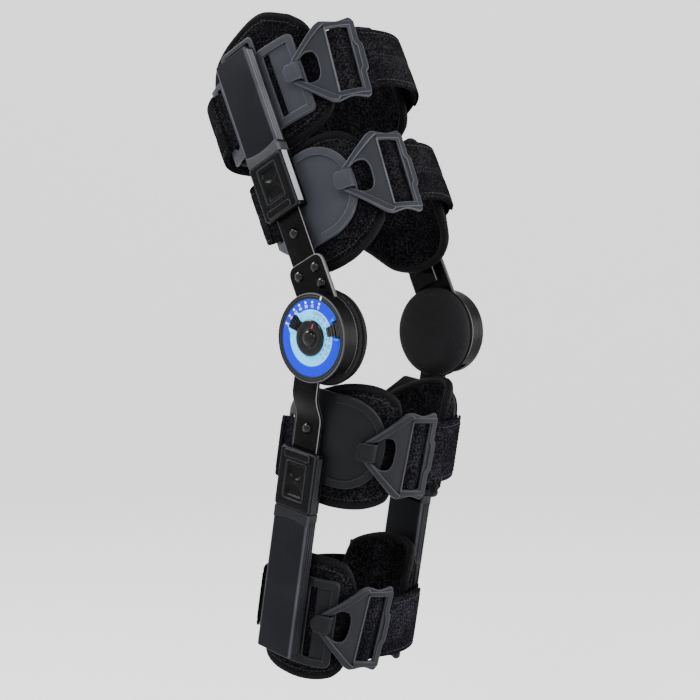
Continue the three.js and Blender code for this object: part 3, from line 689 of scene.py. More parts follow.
# Thigh and calf copies of the same plastics: the grey side lines, band and ribs of the thigh are painted light, the
# dark ones of the calf painted shade
SIDE_GREY = Finish("grey_side_lines", "sleeve_plastic", Texture.MOULDED, (0.033, 0.0336, 0.0385),
                   (0.11, 0.1111, 0.1238), 0.42, 1500.0, 0.00005, shine=0.1)
COLLAR = Finish("black_collar", "collar_plastic", Texture.GLOSS, (0.0028, 0.0028, 0.0032), (0.028, 0.0288, 0.032),
                0.26, 900.0, 0.00004, shine=0.05)
RIBBED = Finish("grey_side_wall", "collar_plastic", Texture.MOULDED, (0.14, 0.143, 0.16), (0.42, 0.425, 0.45),
                0.4, 1800.0, 0.00005, shine=0.1)
BAND_GREY = Finish("grey_band", "sleeve_plastic", Texture.MOULDED, (0.03, 0.031, 0.034), (0.09, 0.092, 0.1),
                   0.5, 1500.0, 0.00005, shine=0.1)
SIDE_DARK = Finish("dark_side_lines", "sleeve_plastic", Texture.MOULDED, (0.004, 0.0041, 0.005), (0.016, 0.0164, 0.019),
                   0.5, 1500.0, 0.00005, shine=0.04)
BAND_DARK = Finish("dark_band", "sleeve_plastic", Texture.MOULDED, (0.0095, 0.0098, 0.0115), (0.03, 0.031, 0.035),
                   0.5, 1500.0, 0.00005, shine=0.06)
HUB = Finish("black_hub", "case_plastic", Texture.GLOSS, (0.0015, 0.0015, 0.0018), (0.04, 0.041, 0.044),
             0.14, 700.0, 0.00002, shine=0.2)
CASE = Finish("black_casing", "case_plastic", Texture.GLOSS, (0.0021, 0.0021, 0.0024), (0.24, 0.2416, 0.248),
              0.4, 700.0, 0.00004, shine=0.04)
BAR = Finish("bar_enamel", "black_bar", Texture.GLOSS, (0.0015, 0.0015, 0.0018), (0.24, 0.2416, 0.252),
             0.22, 420.0, 0.00005, coat=0.02, shine=0.04)
RIVET_BLACK = Finish("rivet_enamel", "black_rivet", Texture.GLOSS, (0.0017, 0.0017, 0.002), (0.048, 0.0488, 0.052),
                     0.12, 800.0, 0.00002, shine=0.22)
SHELL = Finish("slate_shell", "shell_plastic", Texture.MOULDED, (0.0238, 0.0251, 0.0315), (0.0672, 0.0694, 0.0812),
               0.44, 1300.0, 0.00005, shine=0.1)
SHELL_DARK = Finish("dark_shell", "shell_plastic", Texture.MOULDED, (0.006, 0.0062, 0.0073), (0.0242, 0.0251, 0.029),
                    0.46, 1300.0, 0.00005, shine=0.08)
BUCKLE_GREY = Finish("slate_buckle", "buckle_plastic", Texture.MOULDED, (0.0175, 0.0185, 0.0227),
                     (0.0832, 0.0858, 0.0988), 0.5, 1300.0, 0.00005, shine=0.05)
BUCKLE_DARK = Finish("dark_buckle", "buckle_plastic", Texture.MOULDED, (0.0132, 0.0137, 0.0163),
                     (0.044, 0.0452, 0.0515), 0.44, 1300.0, 0.00005, shine=0.05)
STRAP_PILE = Finish("strap_pile", "strap_velour", Texture.VELOUR, (0.0036, 0.0036, 0.0042), (0.05, 0.049, 0.056),
                    0.95, 620.0, 0.0009, shine=0.0)
STRAP_BLUISH = Finish("bluish_strap_pile", "strap_velour", Texture.VELOUR, (0.0036, 0.0036, 0.0047),
                      (0.05, 0.0488, 0.06), 0.95, 620.0, 0.0009, shine=0.0)
PAD_PILE = Finish("pad_pile", "velour_foam", Texture.VELOUR, (0.0024, 0.0024, 0.0028), (0.044, 0.0435, 0.0488),
                  0.96, 560.0, 0.0008, shine=0.0)
BINDING = Finish("dark_binding", "velour_foam", Texture.TAPE, (0.0021, 0.0021, 0.0024), (0.0088, 0.009, 0.0098),
                 0.62, 210.0, 0.00022, shine=0.03)
CONDYLE = Finish("condyle_cover", "condyle_foam", Texture.TAPE, (0.0042, 0.0042, 0.0048), (0.0208, 0.021, 0.0224),
                 0.7, 240.0, 0.00025, shine=0.04)
THREAD = Finish("black_thread", "strap_velour", Texture.THREAD, (0.01, 0.01, 0.0105), (0.04, 0.04, 0.0415),
                0.6, 700.0, 0.0001, shine=0.1)
BLUE = Finish("dial_blue", "blue_dial", Texture.GLOSS, (0.0, 0.007, 0.62), (0.024, 0.224, 0.8),
              0.4, 600.0, 0.00003, shine=0.04)
# Painted glow: the pale ring emits a little light of its own to look brighter
PALE_BLUE = Finish("dial_pale_blue", "pale_blue_dial", Texture.GLOSS, (0.09, 0.6, 1.0), (0.35, 0.82, 1.0),
                   0.45, 600.0, 0.00003, shine=0.04, glow=0.05)
WHITE_INK = Finish("white_print", "blue_dial", Texture.PRINT, (0.8, 0.82, 0.86), (0.95, 0.95, 0.96),
                   0.5, 2400.0, 0.00001)
CRIMSON_INK = Finish("crimson_print", "pale_blue_dial", Texture.PRINT, (0.26, 0.0, 0.045), (0.3, 0.004, 0.06),
                     0.5, 2400.0, 0.00001)
RED_INK = Finish("red_print", "pale_blue_dial", Texture.PRINT, (0.3, 0.0, 0.035), (0.4, 0.01, 0.06),
                 0.5, 2400.0, 0.00001)


@dataclass(frozen=True)
class Segment:
    """One leg segment and its side bars, in millimetres along the leg from the hinge.

    Attributes:
        name: thigh or calf.
        tilt: Degrees that it is turned about the hinge axis.
        up: 1 above the knee, -1 below it.
        bar_forward: Middle of the bar, forward of the hinge axis.
        bar: Where the bar's straight run starts and ends.
        rivet: Where the bar's rivet is.
        collar: Where the collar starts and ends.
        sleeve: Where the sleeve starts and ends.
        button: Middle of the push button.
    """

    name: str
    tilt: float
    up: int
    bar_forward: float
    bar: tuple[float, float]
    rivet: float
    collar: tuple[float, float]
    sleeve: tuple[float, float]
    button: float

    def turned(self, x: Array, y: Array, z: Array) -> Array:
        """Turn points of the upright segment about the hinge axis, into metres."""
        c, s = math.cos(math.radians(self.tilt)), math.sin(math.radians(self.tilt))
        return np.column_stack([x * c + z * s, y, z * c - x * s]) * MM

    def on_side(self, side: Side) -> Callable[[Array], Array]:
        """Mapping of (forward, up, out from the leg's middle plane) points on a side into the row frame."""
        def move(p: Array) -> Array:
            y = -p[:, 2] if side is Side.OUTER else p[:, 2] + INNER_SHIFT
            return self.turned(p[:, 0], y, p[:, 1])
        return move


THIGH = Segment("thigh", -25.0, 1, 5.0, (40.0, 215.0), 87.0, (103.6, 151.0), (151.4, 244.0), 131.0)
CALF = Segment("calf", 10.2, -1, -5.5, (18.0, 215.0), 74.4, (91.7, 140.0), (140.4, 259.0), 117.0)


@dataclass(frozen=True)
class Ring:
    """A cuff's oval section: x = forward + (depth + r) b(sin 2 pi t), y = -(53 + r) b(cos 2 pi t).

    b(v) is v to the power 2 / 2.5 with its sign kept, and the depth differs before and behind the middle. Along
    a cuff, s is the distance round this oval at the shell's outer face, forward from the leg's outer side, and
    r is the distance out from the skin.
    """

    front_depth: float
    rear_depth: float
    forward: float
    segment: Segment

    def at_turn(self, turn: Array, r: Array | float) -> tuple[Array, Array]:
        """Point of the oval at a share of a turn and a distance from the skin."""
        bulge = lambda v: np.sign(v) * np.abs(v) ** (2 / RING_POWER)
        swing = bulge(np.sin(2 * np.pi * turn))
        x = self.forward + (np.where(swing < 0, self.rear_depth, self.front_depth) + r) * swing
        return x, -(SKIN_HALF_WIDTH + r) * bulge(np.cos(2 * np.pi * turn))

    @cached_property
    def table(self) -> tuple[Array, Array]:
        """Turns and the distances round the shell's outer face at them."""
        turn = np.linspace(0, 1, 721)
        x, y = self.at_turn(turn, SHELL_OUT)
        return turn, np.concatenate([[0], np.cumsum(np.hypot(np.diff(x), np.diff(y)))])

    @property
    def girth(self) -> float:
        """Distance once round."""
        return float(self.table[1][-1])

    def on_side(self, side: Side) -> Callable[[Array], Array]:
        """Mapping of (s, up, r) points into the row frame, mirrored for the inner side."""
        def move(p: Array) -> Array:
            turn = np.interp(p[:, 0] % self.girth, self.table[1], self.table[0])
            x, y = self.at_turn(turn, p[:, 2])
            return self.segment.turned(x, y if side is Side.OUTER else -y, p[:, 1])
        return move


def linked(name: str, data: bpy.types.ID) -> bpy.types.Object:
    """Make an object for a mesh, light, camera or curve and put it in the scene."""
    made = bpy.data.objects.new(name, data)
    bpy.context.scene.collection.objects.link(made)
    return made


def add_piece(name: str, skin: Surface, move: Callable[[Array], Array], finish: Finish, body: str,
              stands_for: Sequence[str] = (), smooth: float = SMOOTH_ANGLE) -> bpy.types.Object:
    """Make a piece of the brace from a skin, and let it ride on a body.

    Args:
        name: Object name.
        skin: Closed skin in millimetres.
        move: Mapping into the row frame.
        finish: Its surface.
        body: Body that it moves with.
        stands_for: Frame nodes that it replaces.
        smooth: Edges sharper than this angle stay sharp.

    Returns:
        The new object.
    """
    mesh = bpy.data.meshes.new(name)
    mesh.from_pydata(move(skin.points).tolist(), [], [f for block in skin.faces for f in block.tolist()])
    flat = mesh.attributes.new("flat", "FLOAT_VECTOR", "POINT")
    flat.data.foreach_set("vector", (skin.points * MM).astype(np.float32).ravel())
    # Painted edge highlight, which the moulded and gloss finishes turn into lighter colour
    edge_highlight = mesh.attributes.new("edge_highlight", "FLOAT", "POINT")
    edge_highlight.data.foreach_set("value", skin.edge_highlight.astype(np.float32))
    shape = bmesh.new()
    shape.from_mesh(mesh)
    bmesh.ops.remove_doubles(shape, verts=shape.verts, dist=3e-6)
    bmesh.ops.recalc_face_normals(shape, faces=shape.faces)
    shape.to_mesh(mesh)
    shape.free()
    mesh.shade_smooth()
    mesh.set_sharp_from_angle(angle=smooth)
    mesh.materials.append(finish.material())
    piece = linked(name, mesh)
    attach(piece, body)
    if stands_for:
        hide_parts(*stands_for)
    LOG.info("%s: %d faces on %s", name, len(mesh.polygons), body)
    return piece


def stitches(line: Array, pitch: float, length: float, radius: float) -> Surface:
    """Row of sewn stitches: short spindles of five sides laid along a line at an even pitch.

    Args:
        line: Points as (along, up, out).
        pitch: Distance from stitch to stitch.
        length: Length of one stitch.
        radius: Thickness of the thread at its middle.

    Returns:
        One skin with all the stitches.
    """
    run = run_lengths(line)
    start = np.arange(0, run[-1] - length, pitch)
    at = start[:, None] + length * np.array([0.0, 0.25, 0.75, 1.0])
    centre = np.stack([np.interp(at, run, line[:, k]) for k in range(3)], -1)
    ahead = centre[:, -1] - centre[:, 0]
    ahead /= np.linalg.norm(ahead, axis=1, keepdims=True)
    left = np.column_stack([-ahead[:, 1], ahead[:, 0], np.zeros(len(ahead))])
    turn = np.linspace(0, 2 * np.pi, 5, endpoint=False)
    size = radius * np.array([0.35, 1.0, 1.0, 0.35])[None, :, None, None]
    ring = (left[:, None, None] * np.cos(turn)[None, None, :, None]
            + OUTWARDS * np.sin(turn)[None, None, :, None])
    points = (centre[:, :, None] + ring * size).reshape(-1, 3)
    quads = grid_quads(4, 5)
    caps = np.array([[0, k + 1, k] for k in (1, 2, 3)] + [[15, 15 + k, 16 + k] for k in (1, 2, 3)])
    base = (np.arange(len(start)) * 20)[:, None, None]
    return Surface(points, [(quads[None] + base).reshape(-1, 4), (caps[None] + base).reshape(-1, 3)],
                   np.ones(len(points)))


def between_rows(table: Array, column: int, s: Array) -> Array:
    """Smooth value between a table's rows: a cubic whose slope at a row is half the step over its neighbours.

    Args:
        table: Rows of (s, values...).
        column: Column of the value.
        s: Places.

    Returns:
        Values at those places.
    """
    at, v = table[:, 0], table[:, column]
    i = np.clip(np.searchsorted(at, s, side="right") - 1, 0, len(at) - 2)
    t = (s - at[i]) / (at[i + 1] - at[i])
    p0, p1, p2, p3 = v[np.maximum(i - 1, 0)], v[i], v[i + 1], v[np.minimum(i + 2, len(v) - 1)]
    v0, v1 = (p2 - p0) / 2, (p3 - p1) / 2
    return (2 * p1 - 2 * p2 + v0 + v1) * t ** 3 + (3 * p2 - 3 * p1 - 2 * v0 - v1) * t ** 2 + v0 * t + p1


def eased(x: Array, x0: float, x1: float) -> Array:
    """Smooth step from 0 at x0 to 1 at x1."""
    t = np.clip((x - x0) / (x1 - x0), 0, 1)
    return t * t * (3 - 2 * t)


def swollen(piece: bpy.types.Object, held: Array, cap: float) -> None:
    """Blow a padded piece up a little as cloth, and keep the result in its mesh.

    Cloth with inner pressure and no weight runs for a few frames; a point's movement d becomes
    cap * tanh(|d| / cap) in its own direction.

    Args:
        piece: The piece, with a closed mesh.
        held: Which vertices stay where they are.
        cap: Most that a point may move, in metres.
    """
    group = piece.vertex_groups.new(name="held")
    group.add(np.flatnonzero(held).tolist(), 1.0, "REPLACE")
    cloth = piece.modifiers.new("swell", "CLOTH")
    settings = cloth.settings
    settings.quality = 4
    settings.vertex_group_mass = "held"
    settings.use_pressure = True
    settings.uniform_pressure_force = 4.0
    settings.effector_weights.gravity = 0.0
    cloth.collision_settings.use_collision = False
    cloth.point_cache.frame_start, cloth.point_cache.frame_end = 1, SWELL_FRAMES
    scene = bpy.context.scene
    for number in range(1, SWELL_FRAMES + 1):
        scene.frame_set(number)
    count = len(piece.data.vertices)
    before, after = np.empty(count * 3, np.float32), np.empty(count * 3, np.float32)
    piece.data.vertices.foreach_get("co", before)
    piece.evaluated_get(bpy.context.evaluated_depsgraph_get()).data.vertices.foreach_get("co", after)
    move = (after - before).reshape(-1, 3)
    far = np.maximum(np.linalg.norm(move, axis=1, keepdims=True), 1e-9)
    piece.modifiers.remove(cloth)
    piece.vertex_groups.remove(group)
    piece.data.vertices.foreach_set("co", (before.reshape(-1, 3) + move / far * cap * np.tanh(far / cap)).ravel())
    piece.data.update()
    scene.frame_set(1)


@dataclass(frozen=True)
class ShellShape:
    """Outline of a cuff's shell: places along the girth and up the leg, in millimetres."""

    rear: float
    front: float
    low: float
    high: float
    rear_low: float
    rear_high: float
    round: float

    def outline(self, inset: float = 0.0, start: float | None = None) -> Array:
        """Edge from a starting place along the low side, round the front and back along the high side.

        The front corners are quarter circles; behind the waist the sides run straight to the rear edge.

        Args:
            inset: Distance inside the edge.
            start: Where the line starts and ends along the girth, the rear edge by default.

        Returns:
            Points as (along, up).
        """
        first = self.rear + inset if start is None else start
        turn, end, waist = max(self.round - inset, 1.5), self.front - inset, self.rear * 0.45
        s = np.concatenate([np.linspace(first, end - turn, 40), end - turn + turn * np.sin(np.linspace(0.1, 1.57, 14))])
        curl = inset + turn * (1 - np.sqrt(np.clip(1 - (np.clip(s - end + turn, 0, turn) / turn) ** 2, 0, 1)))
        back = np.clip((waist - s) / (waist - self.rear), 0, 1)
        low = self.low + (self.rear_low - self.low) * back + curl
        high = self.high + (self.rear_high - self.high) * back - curl
        return np.vstack([np.column_stack([s, low]), np.column_stack([s, high])[::-1]])


@dataclass(frozen=True)
class Hook:
    """Where a buckle hooks on: place along and up, and the lean of the buckle in degrees."""

    s: float
    z: float
    lean: float

    def carried(self, p: Array) -> Array:
        """Carry (along the buckle, across it, out) points to the cuff's (s, up, out)."""
        c, n = math.cos(math.radians(self.lean)), math.sin(math.radians(self.lean))
        return np.column_stack([self.s + p[:, 0] * c + p[:, 1] * n, self.z - p[:, 0] * n + p[:, 1] * c, p[:, 2]])


@dataclass(frozen=True)
class Cuff:
    """One cuff: two pads and shells, a hook, a buckle and a strap, all on one ring.

    Attributes:
        name: Name that its nodes carry.
        ring: Its oval section.
        body: Body that it moves with.
        pad: Rows of (s, low edge, high edge).
        shell: Outline of the shells.
        hook: Hook of the outer shell.
        strap: Strap's height at the front, behind the leg and at the rear slot.
        shell_finish: Surface of the shells.
        buckle_finish: Surface of the buckle and hook.
        strap_finish: Surface of the strap.
        front_slot: Middle, width, low and high end of an end shell's open slot.
        looped: Whether an open loop stands above the shell.
        sewn_middle: Whether two zigzag seams run along the strap's middle.
    """

    name: str
    ring: Ring
    body: str
    pad: Array
    shell: ShellShape
    hook: Hook
    strap: tuple[float, float, float]
    shell_finish: Finish
    buckle_finish: Finish
    strap_finish: Finish
    front_slot: tuple[float, float, float, float] | None = None
    looped: bool = False
    sewn_middle: bool = False

    def build(self) -> None:
        """Make every piece of the cuff."""
        for side in Side:
            self._pad(side)
            self._shell(side)
        self._buckle()
        self._strap()

    def _pad_edges(self, s: Array) -> tuple[Array, Array]:
        """Low and high edge of the pad at places along it, drawn together into round ends."""
        low, high = between_rows(self.pad, 1, s), between_rows(self.pad, 2, s)
        end = np.minimum(s - self.pad[0, 0], self.pad[-1, 0] - s)
        share = np.sqrt(np.clip(1 - (1 - np.clip(end / PAD_NOSE, 0, 1)) ** 2, 1e-4, 1))
        middle, half = (low + high) / 2, (high - low) / 2 * share
        return middle - half, middle + half

    def _pad_top(self, inset: Array) -> Array:
        """Height of the pad's outer face at a distance inside its edge: rising from the binding to full."""
        return PAD_LIP + (PAD_THICK - PAD_LIP) * eased(inset, 0.0, 10.0)

    def _pad_line(self, inset: float, out: float) -> Array:
        """Closed line round the pad at a distance inside its edge, as (along, up, out)."""
        s = self.pad[0, 0] + (self.pad[-1, 0] - self.pad[0, 0]) * (0.5 - 0.5 * np.cos(np.linspace(0, np.pi, 90)))
        low, high = self._pad_edges(s)
        edge = resampled(np.vstack([np.column_stack([s, low]), np.column_stack([s, high])[::-1]]), 2.6, closed=True)
        ahead = directions(edge, closed=True)
        line = edge + np.column_stack([-ahead[:, 1], ahead[:, 0]]) * inset
        return raised(line, out)

    def _pad(self, side: Side) -> None:
        """Foam pad: a crowned section carried along the girth, swollen, with a bound edge and a seam."""
        first, last = self.pad[0, 0], self.pad[-1, 0]
        s = first + (last - first) * (0.5 - 0.5 * np.cos(np.linspace(0.02, np.pi - 0.02, 58)))
        low, high = self._pad_edges(s)
        share = np.sin(np.linspace(-np.pi / 2, np.pi / 2, 32))
        up = (low + high)[:, None] / 2 + (high - low)[:, None] / 2 * share
        inset = np.minimum(np.minimum(up - low[:, None], high[:, None] - up),
                           np.minimum(s - first, last - s)[:, None])
        top = self._pad_top(inset)
        foot = 1.6 * (1 - eased(inset, 0.0, 9.0))
        along = np.broadcast_to(s[:, None], up.shape)
        rows = np.concatenate([np.stack([along, up, top], -1), np.stack([along, up, foot], -1)[:, ::-1]], 1)
        skin = tube(rows)
        name = f"{side.value}_{self.name}_padding"
        move = self.ring.on_side(side)
        piece = add_piece(name, skin, move, PAD_PILE, self.body, [f"{side.value}_{self.name}_pad"], math.pi)
        self._swell(piece)
        line = self._pad_line(2.5, 3.5)
        oval = circle(1.0, 12) * (3.5, 3.3)
        add_piece(f"{side.value}_{self.name}_binding", ridge(line, oval, closed=True), move, BINDING, self.body)
        seam = self._pad_line(7.6, 7.75)
        sewn = stitches(np.vstack([seam, seam[:1]]), pitch=3.6, length=2.7, radius=0.34)
        add_piece(f"{side.value}_{self.name}_pad_seam", sewn, move, THREAD, self.body)

    def _swell(self, piece: bpy.types.Object) -> None:
        """Swell the pad where neither its seam nor the shell holds it."""
        flat = np.empty(len(piece.data.vertices) * 3, np.float32)
        piece.data.attributes["flat"].data.foreach_get("vector", flat)
        s, z, r = (flat.reshape(-1, 3) / MM).T
        low, high = self._pad_edges(np.clip(s, self.pad[0, 0], self.pad[-1, 0]))
        inset = np.minimum(np.minimum(z - low, high - z), np.minimum(s - self.pad[0, 0], self.pad[-1, 0] - s))
        under = inside(np.column_stack([s, z]), self.shell.outline(-1.5)) & (r > 4)
        swollen(piece, (inset < PAD_HELD) | under, SWELL_CAP)

    def _shell(self, side: Side) -> None:
        """Shell: a bent plate with slots, a raised border and the hook, loop or boss that it carries."""
        edge = self.shell.outline()
        loops = [resampled(edge, 1.5, closed=True)]
        slot_up = self.strap[2]
        half = REAR_SLOT_WIDTH / 2
        loops.append(rectangle((REAR_SLOT_AT - half, REAR_SLOT_AT + half), (slot_up - 27.5, slot_up + 27.5), 2.0))
        sleeve_front = self.ring.segment.bar_forward + 19.2 - self.ring.forward
        if self.front_slot and side is Side.OUTER:
            at, wide, low, high = self.front_slot
            loops.append(rectangle((at - wide / 2, at + wide / 2), (low, high), 1.6))
        parts = [plate(loops, SHELL_IN, SHELL_OUT, 0.9, 4.0)]
        rim = raised(resampled(self.shell.outline(3.7, sleeve_front + 1.8), 1.6), SHELL_OUT - 0.4)
        parts.append(ridge(rim, band(6.4, 2.1, 0.75), edge_highlight=CORNER_HIGHLIGHT))
        if side is Side.OUTER:
            parts.append(self._hook_skin())
            if self.looped:
                parts.append(self._loop_skin())
            if self.front_slot is None:
                bar = self.ring.segment
                boss = np.array([[6.6, SHELL_OUT - 0.5], [6.0, SHELL_OUT + 0.6],
                                 [5.6, BAR_IN - SKIN_HALF_WIDTH - 0.3]])
                parts.append(dome(boss, 28, (bar.bar_forward - self.ring.forward, bar.up * bar.rivet)))
        add_piece(f"{side.value}_{self.name}_moulding", joined(parts), self.ring.on_side(side), self.shell_finish,
                  self.body, [f"{side.value}_{self.name}_shell"])

    def _hook_skin(self) -> Surface:
        """Hook: a wide strip that rises from the shell, bends over and ends in a round tip over the crossbar."""
        bend = np.linspace(0, np.pi / 2, 9)
        lip = np.column_stack([np.linspace(0.15, 10.4, 14), np.full(14, 19.0)])
        turn = np.column_stack([10.4 + 3.6 * np.sin(bend[1:]), 15.4 + 3.6 * np.cos(bend[1:])])
        post = np.column_stack([np.full(5, 14.0), np.linspace(13.8, SHELL_OUT - 0.6, 5)])
        line = np.vstack([lip, turn, post])
        path = np.column_stack([line[:, 0], np.zeros(len(line)), line[:, 1]])
        ahead = directions(path)
        up = np.column_stack([-ahead[:, 2], np.zeros(len(path)), ahead[:, 0]])
        wide = np.sqrt(np.clip(1 - (1 - np.clip(line[:, 0] / 4.6, 0, 1)) ** 2, 0.02, 1))
        profile = band(14.4, 2.4, 0.8) - (0, 1.2)
        size = np.column_stack([wide, 0.6 + 0.4 * wide])
        skin = sweep(path, np.array([0.0, 1.0, 0.0]), up, profile, edge_highlight=CORNER_HIGHLIGHT, scale=size)
        return skin.moved(self.hook.carried)

    def _loop_skin(self) -> Surface:
        """Open loop above the sleeve's end: a flat frame round a slot."""
        top = self.shell.high
        frame_edge = rounded([(-17, top - 3), (21, top - 3), (21, top + 16), (-17, top + 16)], [1.5, 1.5, 4, 4])
        return plate([frame_edge, rectangle((-13, 17), (top + 5, top + 12), 1.8)], SHELL_IN, SHELL_OUT + 0.4, 0.9, 4.0)

    def _buckle(self) -> None:
        """Forked buckle: a plate with an eye and a strap slot, two raised arms, bars and a thin ridge."""
        side = np.array([(5.6, 7.4), (32, 33), (37, 35), (49, 32), (60, 35.5), (63, 33), (62, 14), (65, 10)])
        eye = np.array([(10.7, 7), (20, 13.2), (26.4, 12.4), (29, 6.5)])
        arm = np.array([(6, 7.2), (32, 32.6), (37, 34.5), (39.4, 31), (35, 28.5), (13, 8.6)])
        mirrored = lambda half: np.vstack([half * (1, -1), half[::-1]])
        outline = rounded(mirrored(side), [0.9, 2, 2, 4, 1.6, 1.6, 2, 1.6] + [1.6, 2, 1.6, 1.6, 4, 2, 2, 0.9], 1.0)
        hole = rounded(mirrored(eye), [2.4, 3, 2.4, 3] + [3, 2.4, 3, 2.4], 0.9)
        slot = rectangle((40, 57), (-27, 27), 1.2)
        parts = [plate([outline, hole, slot], 13.4, 16.2, 0.8, 4.0)]
        for way in (1, -1):
            shape = rounded(arm * (1, way), [0.8, 3, 2, 1.5, 2, 1.2], 0.9)
            slope = lambda p: 1.0 * eased(p[:, 0], 8, 30)
            parts.append(plate([shape], 15.4, 17.6, 0.9, 4.0, slope))
            end = np.column_stack([np.linspace(38.5, 61.5, 12), way * np.full(12, 29.6), np.full(12, 15.6)])
            parts.append(ridge(end, band(4.4, 1.9, 0.8), edge_highlight=CORNER_HIGHLIGHT))
        up = np.linspace(-31, 31, 40)
        bow = 60.2 + 2.6 * (1 - eased(np.abs(up), 9.5, 13.5))
        edge = np.column_stack([bow, up, np.full(40, 15.6)])
        parts.append(ridge(edge, band(5.0, 2.0, 0.9), edge_highlight=CORNER_HIGHLIGHT))
        thin = np.column_stack([np.full(30, 39.0), np.linspace(-28.5, 28.5, 30), np.full(30, 15.9)])
        parts.append(ridge(thin, band(1.3, 1.2, 0.5), edge_highlight=FULL_HIGHLIGHT))
        add_piece(f"{self.name}_fork", joined(parts).moved(self.hook.carried), self.ring.on_side(Side.OUTER),
                  self.buckle_finish, self.body, [f"{self.name}_buckle"])

    def _strap_up(self, s: Array) -> Array:
        """Height of the strap's middle line round the leg: eased from the front to behind and to the slot."""
        half, tuck = self.ring.girth / 2, self.ring.girth + REAR_SLOT_AT
        front, rear, slot = self.strap
        return front + (rear - front) * eased(s, 0.82 * half, 1.5 * half) + (slot - rear) * eased(s, 1.5 * half, tuck)

    def _strap_layer(self, s: Array, foot: Array, thick: Array, slotted: Array | float = 0.0) -> Surface:
        """One layer of webbing: a flat band with round edges and pressed seam lines, carried round the leg.

        At w across the strap the top's height over the foot is thick (1 - 0.2 exp(-(|w| - 21)^2) - 0.18 (|w| / 25)^8).

        Args:
            s: Places along the girth.
            foot: Height of its inner face there.
            thick: Its thickness there.
            slotted: How far it follows the buckle's slot there: wider, level with the slot and leaning as it does.

        Returns:
            The closed skin.
        """
        w = np.linspace(-1, 1, 43) * (STRAP_WIDTH / 2 - 0.9)
        press = 1 - 0.2 * np.exp(-(np.abs(w) - SEAM_ACROSS) ** 2) - 0.18 * (np.abs(w) / 25) ** 8
        if self.sewn_middle:
            press = press - 0.14 * np.exp(-(w / 3.2) ** 4)
        turn = np.linspace(-np.pi / 2, np.pi / 2, 5)[1:-1]
        right = np.column_stack([w[-1] + 0.9 * np.cos(turn), 0.42 + 0.38 * np.sin(turn)])
        profile = np.vstack([np.column_stack([w, np.zeros(len(w))]), right,
                             np.column_stack([w, press])[::-1], (right * (-1, 1))[::-1]])
        share = np.broadcast_to(slotted, len(s))[:, None]
        lean = math.radians(self.hook.lean)
        lift = self.hook.z - 48.5 * math.sin(lean) - self.strap[0]
        rows = np.stack([s[:, None] + share * math.tan(lean) * profile[:, 0],
                         self._strap_up(s)[:, None] + share * lift + (1 + 0.115 * share) * profile[:, 0],
                         foot[:, None] + thick[:, None] * profile[:, 1]], -1)
        return tube(rows)

    def _strap(self) -> None:
        """Strap: up through the buckle's slot, folded back on itself, round the leg and through the rear slot."""
        tip, girth = self.hook.s, self.ring.girth
        slot_edge = girth + REAR_SLOT_AT - REAR_SLOT_WIDTH / 2
        end = slot_edge + REAR_SLOT_WIDTH - 0.6
        s = np.linspace(tip + 39.4, end, int((end - tip - 39.4) / 2.6))
        close = 1 - eased(s, tip + SETTLE_START, tip + SETTLE_END)
        dip = eased(s, slot_edge - 0.4, slot_edge + 3.0)
        foot = STRAP_IN - 1.7 * close - (STRAP_IN - SHELL_IN - 0.4) * dip
        thick = STRAP_THICK - 0.55 * close
        flap_end = girth / 2 - 50
        f = np.concatenate([np.linspace(tip + 37.4, tip + 66, 27), np.arange(tip + 68, flap_end, 2.6)])
        hump = np.exp(-((f - tip - 48.6) / 4.6) ** 4)
        near = 1 - eased(f, tip + 64, tip + 80)
        flap_foot = STRAP_IN + STRAP_THICK + 0.08 - 2.2 * near + 2.7 * hump
        flap_thick = STRAP_THICK - 0.5 * near + 0.1 * hump
        back = np.arange(slot_edge - 74, slot_edge + 1.2, 2.6)
        back_foot = STRAP_IN + STRAP_THICK + 0.08 - 1.4 * eased(back, slot_edge - 2, slot_edge + 1)
        slotted = 1 - eased(f, tip + 57, tip + 74)
        layers = [self._strap_layer(s, foot, thick), self._strap_layer(f, flap_foot, flap_thick, slotted),
                  self._strap_layer(back, back_foot, np.full(len(back), STRAP_THICK))]
        move = self.ring.on_side(Side.OUTER)
        add_piece(f"{self.name}_webbing", joined(layers), move, self.strap_finish, self.body, [f"{self.name}_strap"],
                  math.radians(60))
        seams = []
        front = np.arange(tip + 70, flap_end - 2, 2.0)
        bare = np.arange(flap_end + 4, slot_edge - 78, 2.0)
        rear = np.arange(slot_edge - 71, slot_edge - 4, 2.0)
        folded = STRAP_IN + 2 * STRAP_THICK
        for run, level in ((front, folded), (bare, STRAP_IN + STRAP_THICK), (rear, folded)):
            sunk = 1.3 * (1 - eased(run, tip + SETTLE_START, tip + SETTLE_END))
            settled = level - 0.25 - sunk * (run is front)
            for across in (-SEAM_ACROSS, SEAM_ACROSS):
                line = np.column_stack([run, self._strap_up(run) + across, settled])
                seams.append(stitches(line, pitch=3.8, length=2.8, radius=0.3))
            if self.sewn_middle:
                seams.extend(self._zigzag(run, settled))
        for place in (flap_end - 3.5, slot_edge - 70):
            up = self._strap_up(np.array([place]))[0] + np.linspace(-22, 22, 20)
            line = np.column_stack([np.full(20, place), up, np.full(20, folded + 0.02)])
            seams.append(stitches(line, pitch=3.2, length=2.4, radius=0.34))
        add_piece(f"{self.name}_strap_seams", joined(seams), move, THREAD, self.body)

    def _zigzag(self, run: Array, level: Array) -> list[Surface]:
        """Two zigzag seams side by side: the thread swings from side to side every 1.5 mm."""
        s = np.arange(run[0], run[-1], 1.5)
        swing = np.where(np.arange(len(s)) % 2 == 0, -1.2, 1.2)
        out = np.interp(s, run, level) - 0.12
        thread = circle(0.26, 5)
        lines = [np.column_stack([s, self._strap_up(s) + middle + swing * way, out])
                 for middle, way in ((-1.9, 1), (1.9, -1))]
        return [ridge(line, thread, edge_highlight=np.ones(5)) for line in lines]


